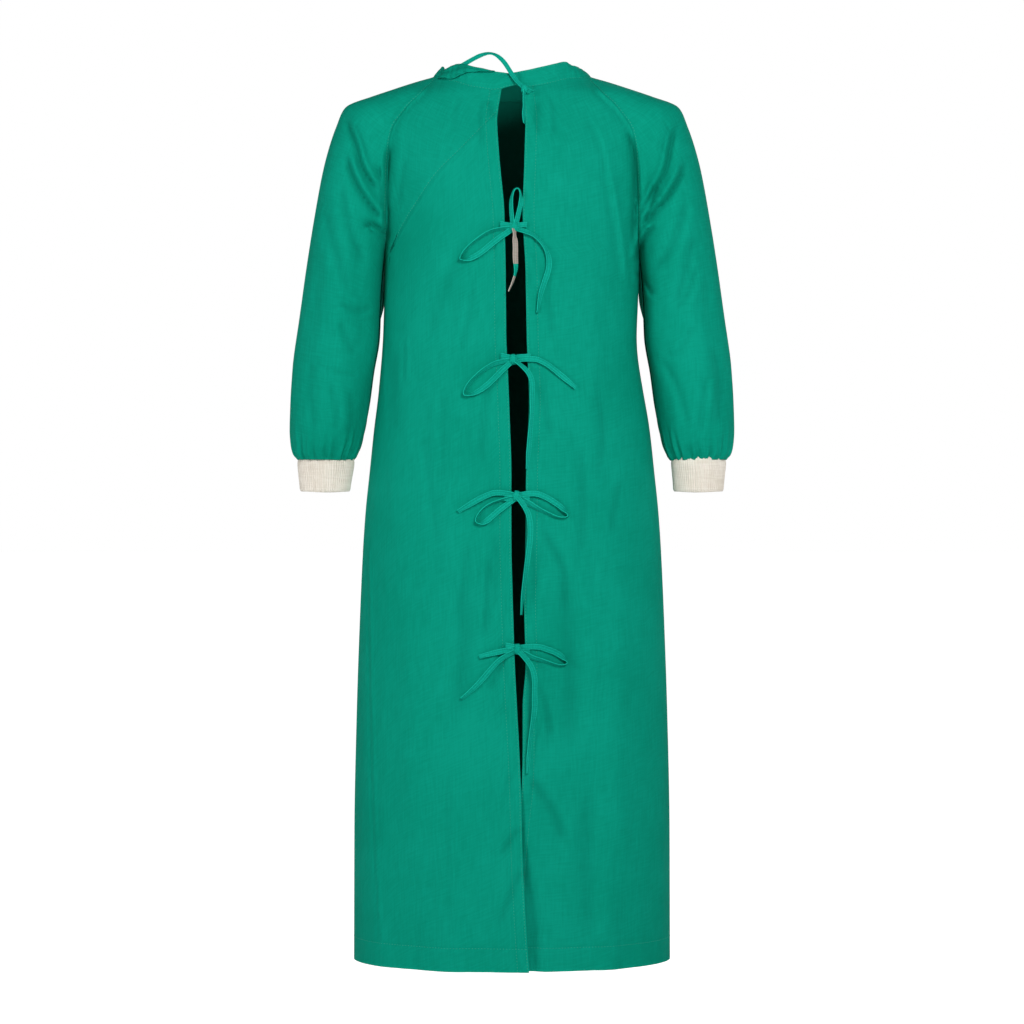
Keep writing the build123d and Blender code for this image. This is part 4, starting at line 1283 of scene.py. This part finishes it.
def band_grid(angle, share):
    """The standing band: share 0 is on the neck seam, overlapping the panels, and 1 is its top."""
    base = neck_seam(angle)
    outward = np.stack([-np.sin(angle), -1.25 * np.cos(angle), 0 * angle], -1)
    outward /= np.linalg.norm(outward, axis=-1, keepdims=True)
    bottom = base + outward * 1.6 - np.array([0, 0, 3.0])
    top = base - outward * collar_lean(angle)[:, None]
    top[:, 2] = collar_top(angle)
    share = share[:, None]
    out = 2.2 * np.sin(math.pi * share) + 1.3 * ripple(angle[None] * 100, share * 26, 12, 16, 61) * share
    out = out + 0.7 * ripple(angle[None] * 100, share * 26, 5, 18, 62) + 2.6 * ease((0.16 - angle) / 0.12)
    return bottom * (1 - share[..., None]) + top * share[..., None] + outward * out[..., None], outward


def turned_down(angle):
    """The part of the collar that is turned out and down, its outward directions, and its groove."""
    band_top, outward = band_grid(angle, np.array([1.0]))
    down = np.linspace(0, 1, TURN_ROWS)[:, None]
    length = collar_turn(angle)
    at_back = 0.3 + 0.7 * ease((1.35 - angle) / 0.4)
    roll = (1.9 + 1.5 * np.sin(math.pi * down) + 2.6 * down) * at_back * ease(down * 4)
    roll = roll + 0.7 + 2.6 * ease((0.36 - angle) / 0.14)
    groove = np.exp(-(((down - 0.42 - 0.1 * np.sin(9 * angle)) / 0.13) ** 2))
    groove = groove * ease((angle - 0.25) / 0.2) * ease((1.3 - angle) / 0.3)
    crumple = 1.5 * ripple(angle * 100 + 30 * down, down * 24, 9, 8, 64)
    out = roll * ease(length / 6) + collar_lean(angle) * np.clip(length / 16, 0, 1) * down
    out = out + (crumple * down - 1.6 * groove) * at_back
    flap = band_top + outward * out[..., None]
    flap[..., 2] += 1.2 * np.sin(math.pi * np.minimum(down * 3, 1)) - length * down
    flap[..., 2] += 0.9 * at_back * ripple(angle[None] * 100, down * 20, 13, 12, 63)
    return flap, outward, groove


band, band_outward = band_grid(
    np.linspace(COLLAR[0][0], COLLAR[-1][0], COLLAR_COLUMNS), np.linspace(0, 1, COLLAR_ROWS)
)
band_normals = cloth_object(
    "collar_band", band, band_outward, gown_cloth, COLLAR_CLOTH,
    wear=0.5 * near_edge(band, 2.0, ["top", "left", "right", "bottom"]), crease=crease_at(band, ["top"], 2.0),
)
flap, flap_outward, groove = turned_down(np.linspace(TURN_START, TURN_END, TURN_COLUMNS))
# The turned-down part gets painted shade all over, deeper in its groove.
cloth_object(
    "collar_turn_down", flap, flap_outward, gown_cloth, TURN_CLOTH,
    wear=0.6 * near_edge(flap, 1.5, ["bottom"]), crease=0.3 + 0.5 * groove,
)
stitched("collar_stitches", [(band[1], band_normals[1]), (band[-2], band_normals[-2])])
stitched("front_stitches", [(front[-HEM_ROWS], front_normals[-HEM_ROWS])])

# ---------------------------------------------------------------- riding on the bodies, and the CAD parts hidden
for sign, word in ((LEFT, "left"), (RIGHT, "right")):
    for name in (f"{word}_back_cloth", f"{word}_facing_strip", f"{word}_hem_turn", f"{word}_back_stitches"):
        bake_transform(pieces[name])
    for name in (f"{word}_sleeve_cloth", f"{word}_raglan_stitches"):
        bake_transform(pieces[name])
    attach(pieces[f"{word}_rib_cuff"], f"{word}_sleeve")
    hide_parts(f"{word}_cuff")
    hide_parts(f"{word}_back_panel", f"{word}_skirt_flap")
    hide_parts(f"{word}_edge_facing", f"{word}_flap_facing")
    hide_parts(f"{word}_hem")
    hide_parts(f"{word}_shoulder", f"{word}_sleeve")
for name in ("left_yoke_cloth", "front_cloth", "front_hem_turn", "front_stitches", "collar_band",
             "collar_turn_down", "collar_stitches"):
    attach(pieces[name], "gown")
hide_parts("left_back_yoke")
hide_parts("front_panel")
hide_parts("front_hem")
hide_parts("neck_band")


# ---------------------------------------------------------------- floor, backdrop and light
FLOOR_Z = cad_low.z - 0.30
FLOOR_SIDE, FLOOR_NEAR, FLOOR_FAR = 40, -12, 60
WHITE = (1, 1, 1, 1)


def build_floor():
    """A white floor that glows more with distance, so that it runs into the backdrop."""
    tree = Tree("floor")
    grain = tree.noise(tree.place(), 3.0)
    tree.link(tree.mix(grain, (0.93, 0.93, 0.93), (0.95, 0.95, 0.95)), tree.shader["Base Color"])
    tree.shader["Roughness"].default_value = 0.9
    tree.shader["Emission Color"].default_value = WHITE
    behind = tree.split(tree.place())["Y"]
    distance = tree.nodes.new("ShaderNodeVectorMath")
    distance.operation = "LENGTH"
    tree.link(tree.place(), distance.inputs[0])
    glow = tree.math(
        "MAXIMUM", tree.remap(behind, 0.2, 1.3, 0.0, 0.85),
        tree.remap(distance.outputs["Value"], 3.5, 7.5, 0.0, 0.85),
    )
    seen = tree.math("MULTIPLY", tree.nodes.new("ShaderNodeLightPath").outputs["Is Camera Ray"], 0.6)
    tree.link(tree.math("MAXIMUM", glow, seen), tree.shader["Emission Strength"])
    mesh = bpy.data.meshes.new("floor")
    corners = [(-1, FLOOR_NEAR), (1, FLOOR_NEAR), (1, FLOOR_FAR), (-1, FLOOR_FAR)]
    mesh.from_pydata([(sign * FLOOR_SIDE, y, FLOOR_Z) for sign, y in corners], [], [(0, 1, 2, 3)])
    mesh.materials.append(tree.material)
    floor = bpy.data.objects.new("floor", mesh)
    bpy.context.scene.collection.objects.link(floor)


def build_world(light_strength, seen_strength):
    """White all round, which lights the part less than it shows to the camera."""
    world = bpy.data.worlds.new("studio")
    bpy.context.scene.world = world
    world.use_nodes = True
    nodes, link = world.node_tree.nodes, world.node_tree.links.new
    chooser = nodes.new("ShaderNodeMixShader")
    link(nodes.new("ShaderNodeLightPath").outputs["Is Camera Ray"], chooser.inputs[0])
    for place, node, strength in (
        (1, nodes["Background"], light_strength), (2, nodes.new("ShaderNodeBackground"), seen_strength)
    ):
        node.inputs["Color"].default_value = WHITE
        node.inputs["Strength"].default_value = strength
        link(node.outputs[0], chooser.inputs[place])
    link(chooser.outputs[0], nodes["World Output"].inputs["Surface"])


def area_light(name, place, target, size, power):
    """A square light that faces its target, in metres and watts."""
    data = bpy.data.lights.new(name, "AREA")
    data.size = size
    data.energy = power
    light = bpy.data.objects.new(name, data)
    bpy.context.scene.collection.objects.link(light)
    light.location = place
    light.rotation_euler = (Vector(target) - Vector(place)).to_track_quat("-Z", "Y").to_euler()


build_floor()
build_world(0.20, 1.0)
bpy.context.scene.view_settings.view_transform = "Standard"
area_light("key", (0.85, -2.7, MIDDLE_Z + 1.25), (0, 0, MIDDLE_Z + 0.2), 0.8, 57.5)
area_light("fill", (-2.7, -2.3, MIDDLE_Z + 0.6), (0, 0, MIDDLE_Z), 1.2, 35)
area_light("rim", (0.8, 3.4, MIDDLE_Z + 1.8), (0, 0, MIDDLE_Z), 1.6, 24)
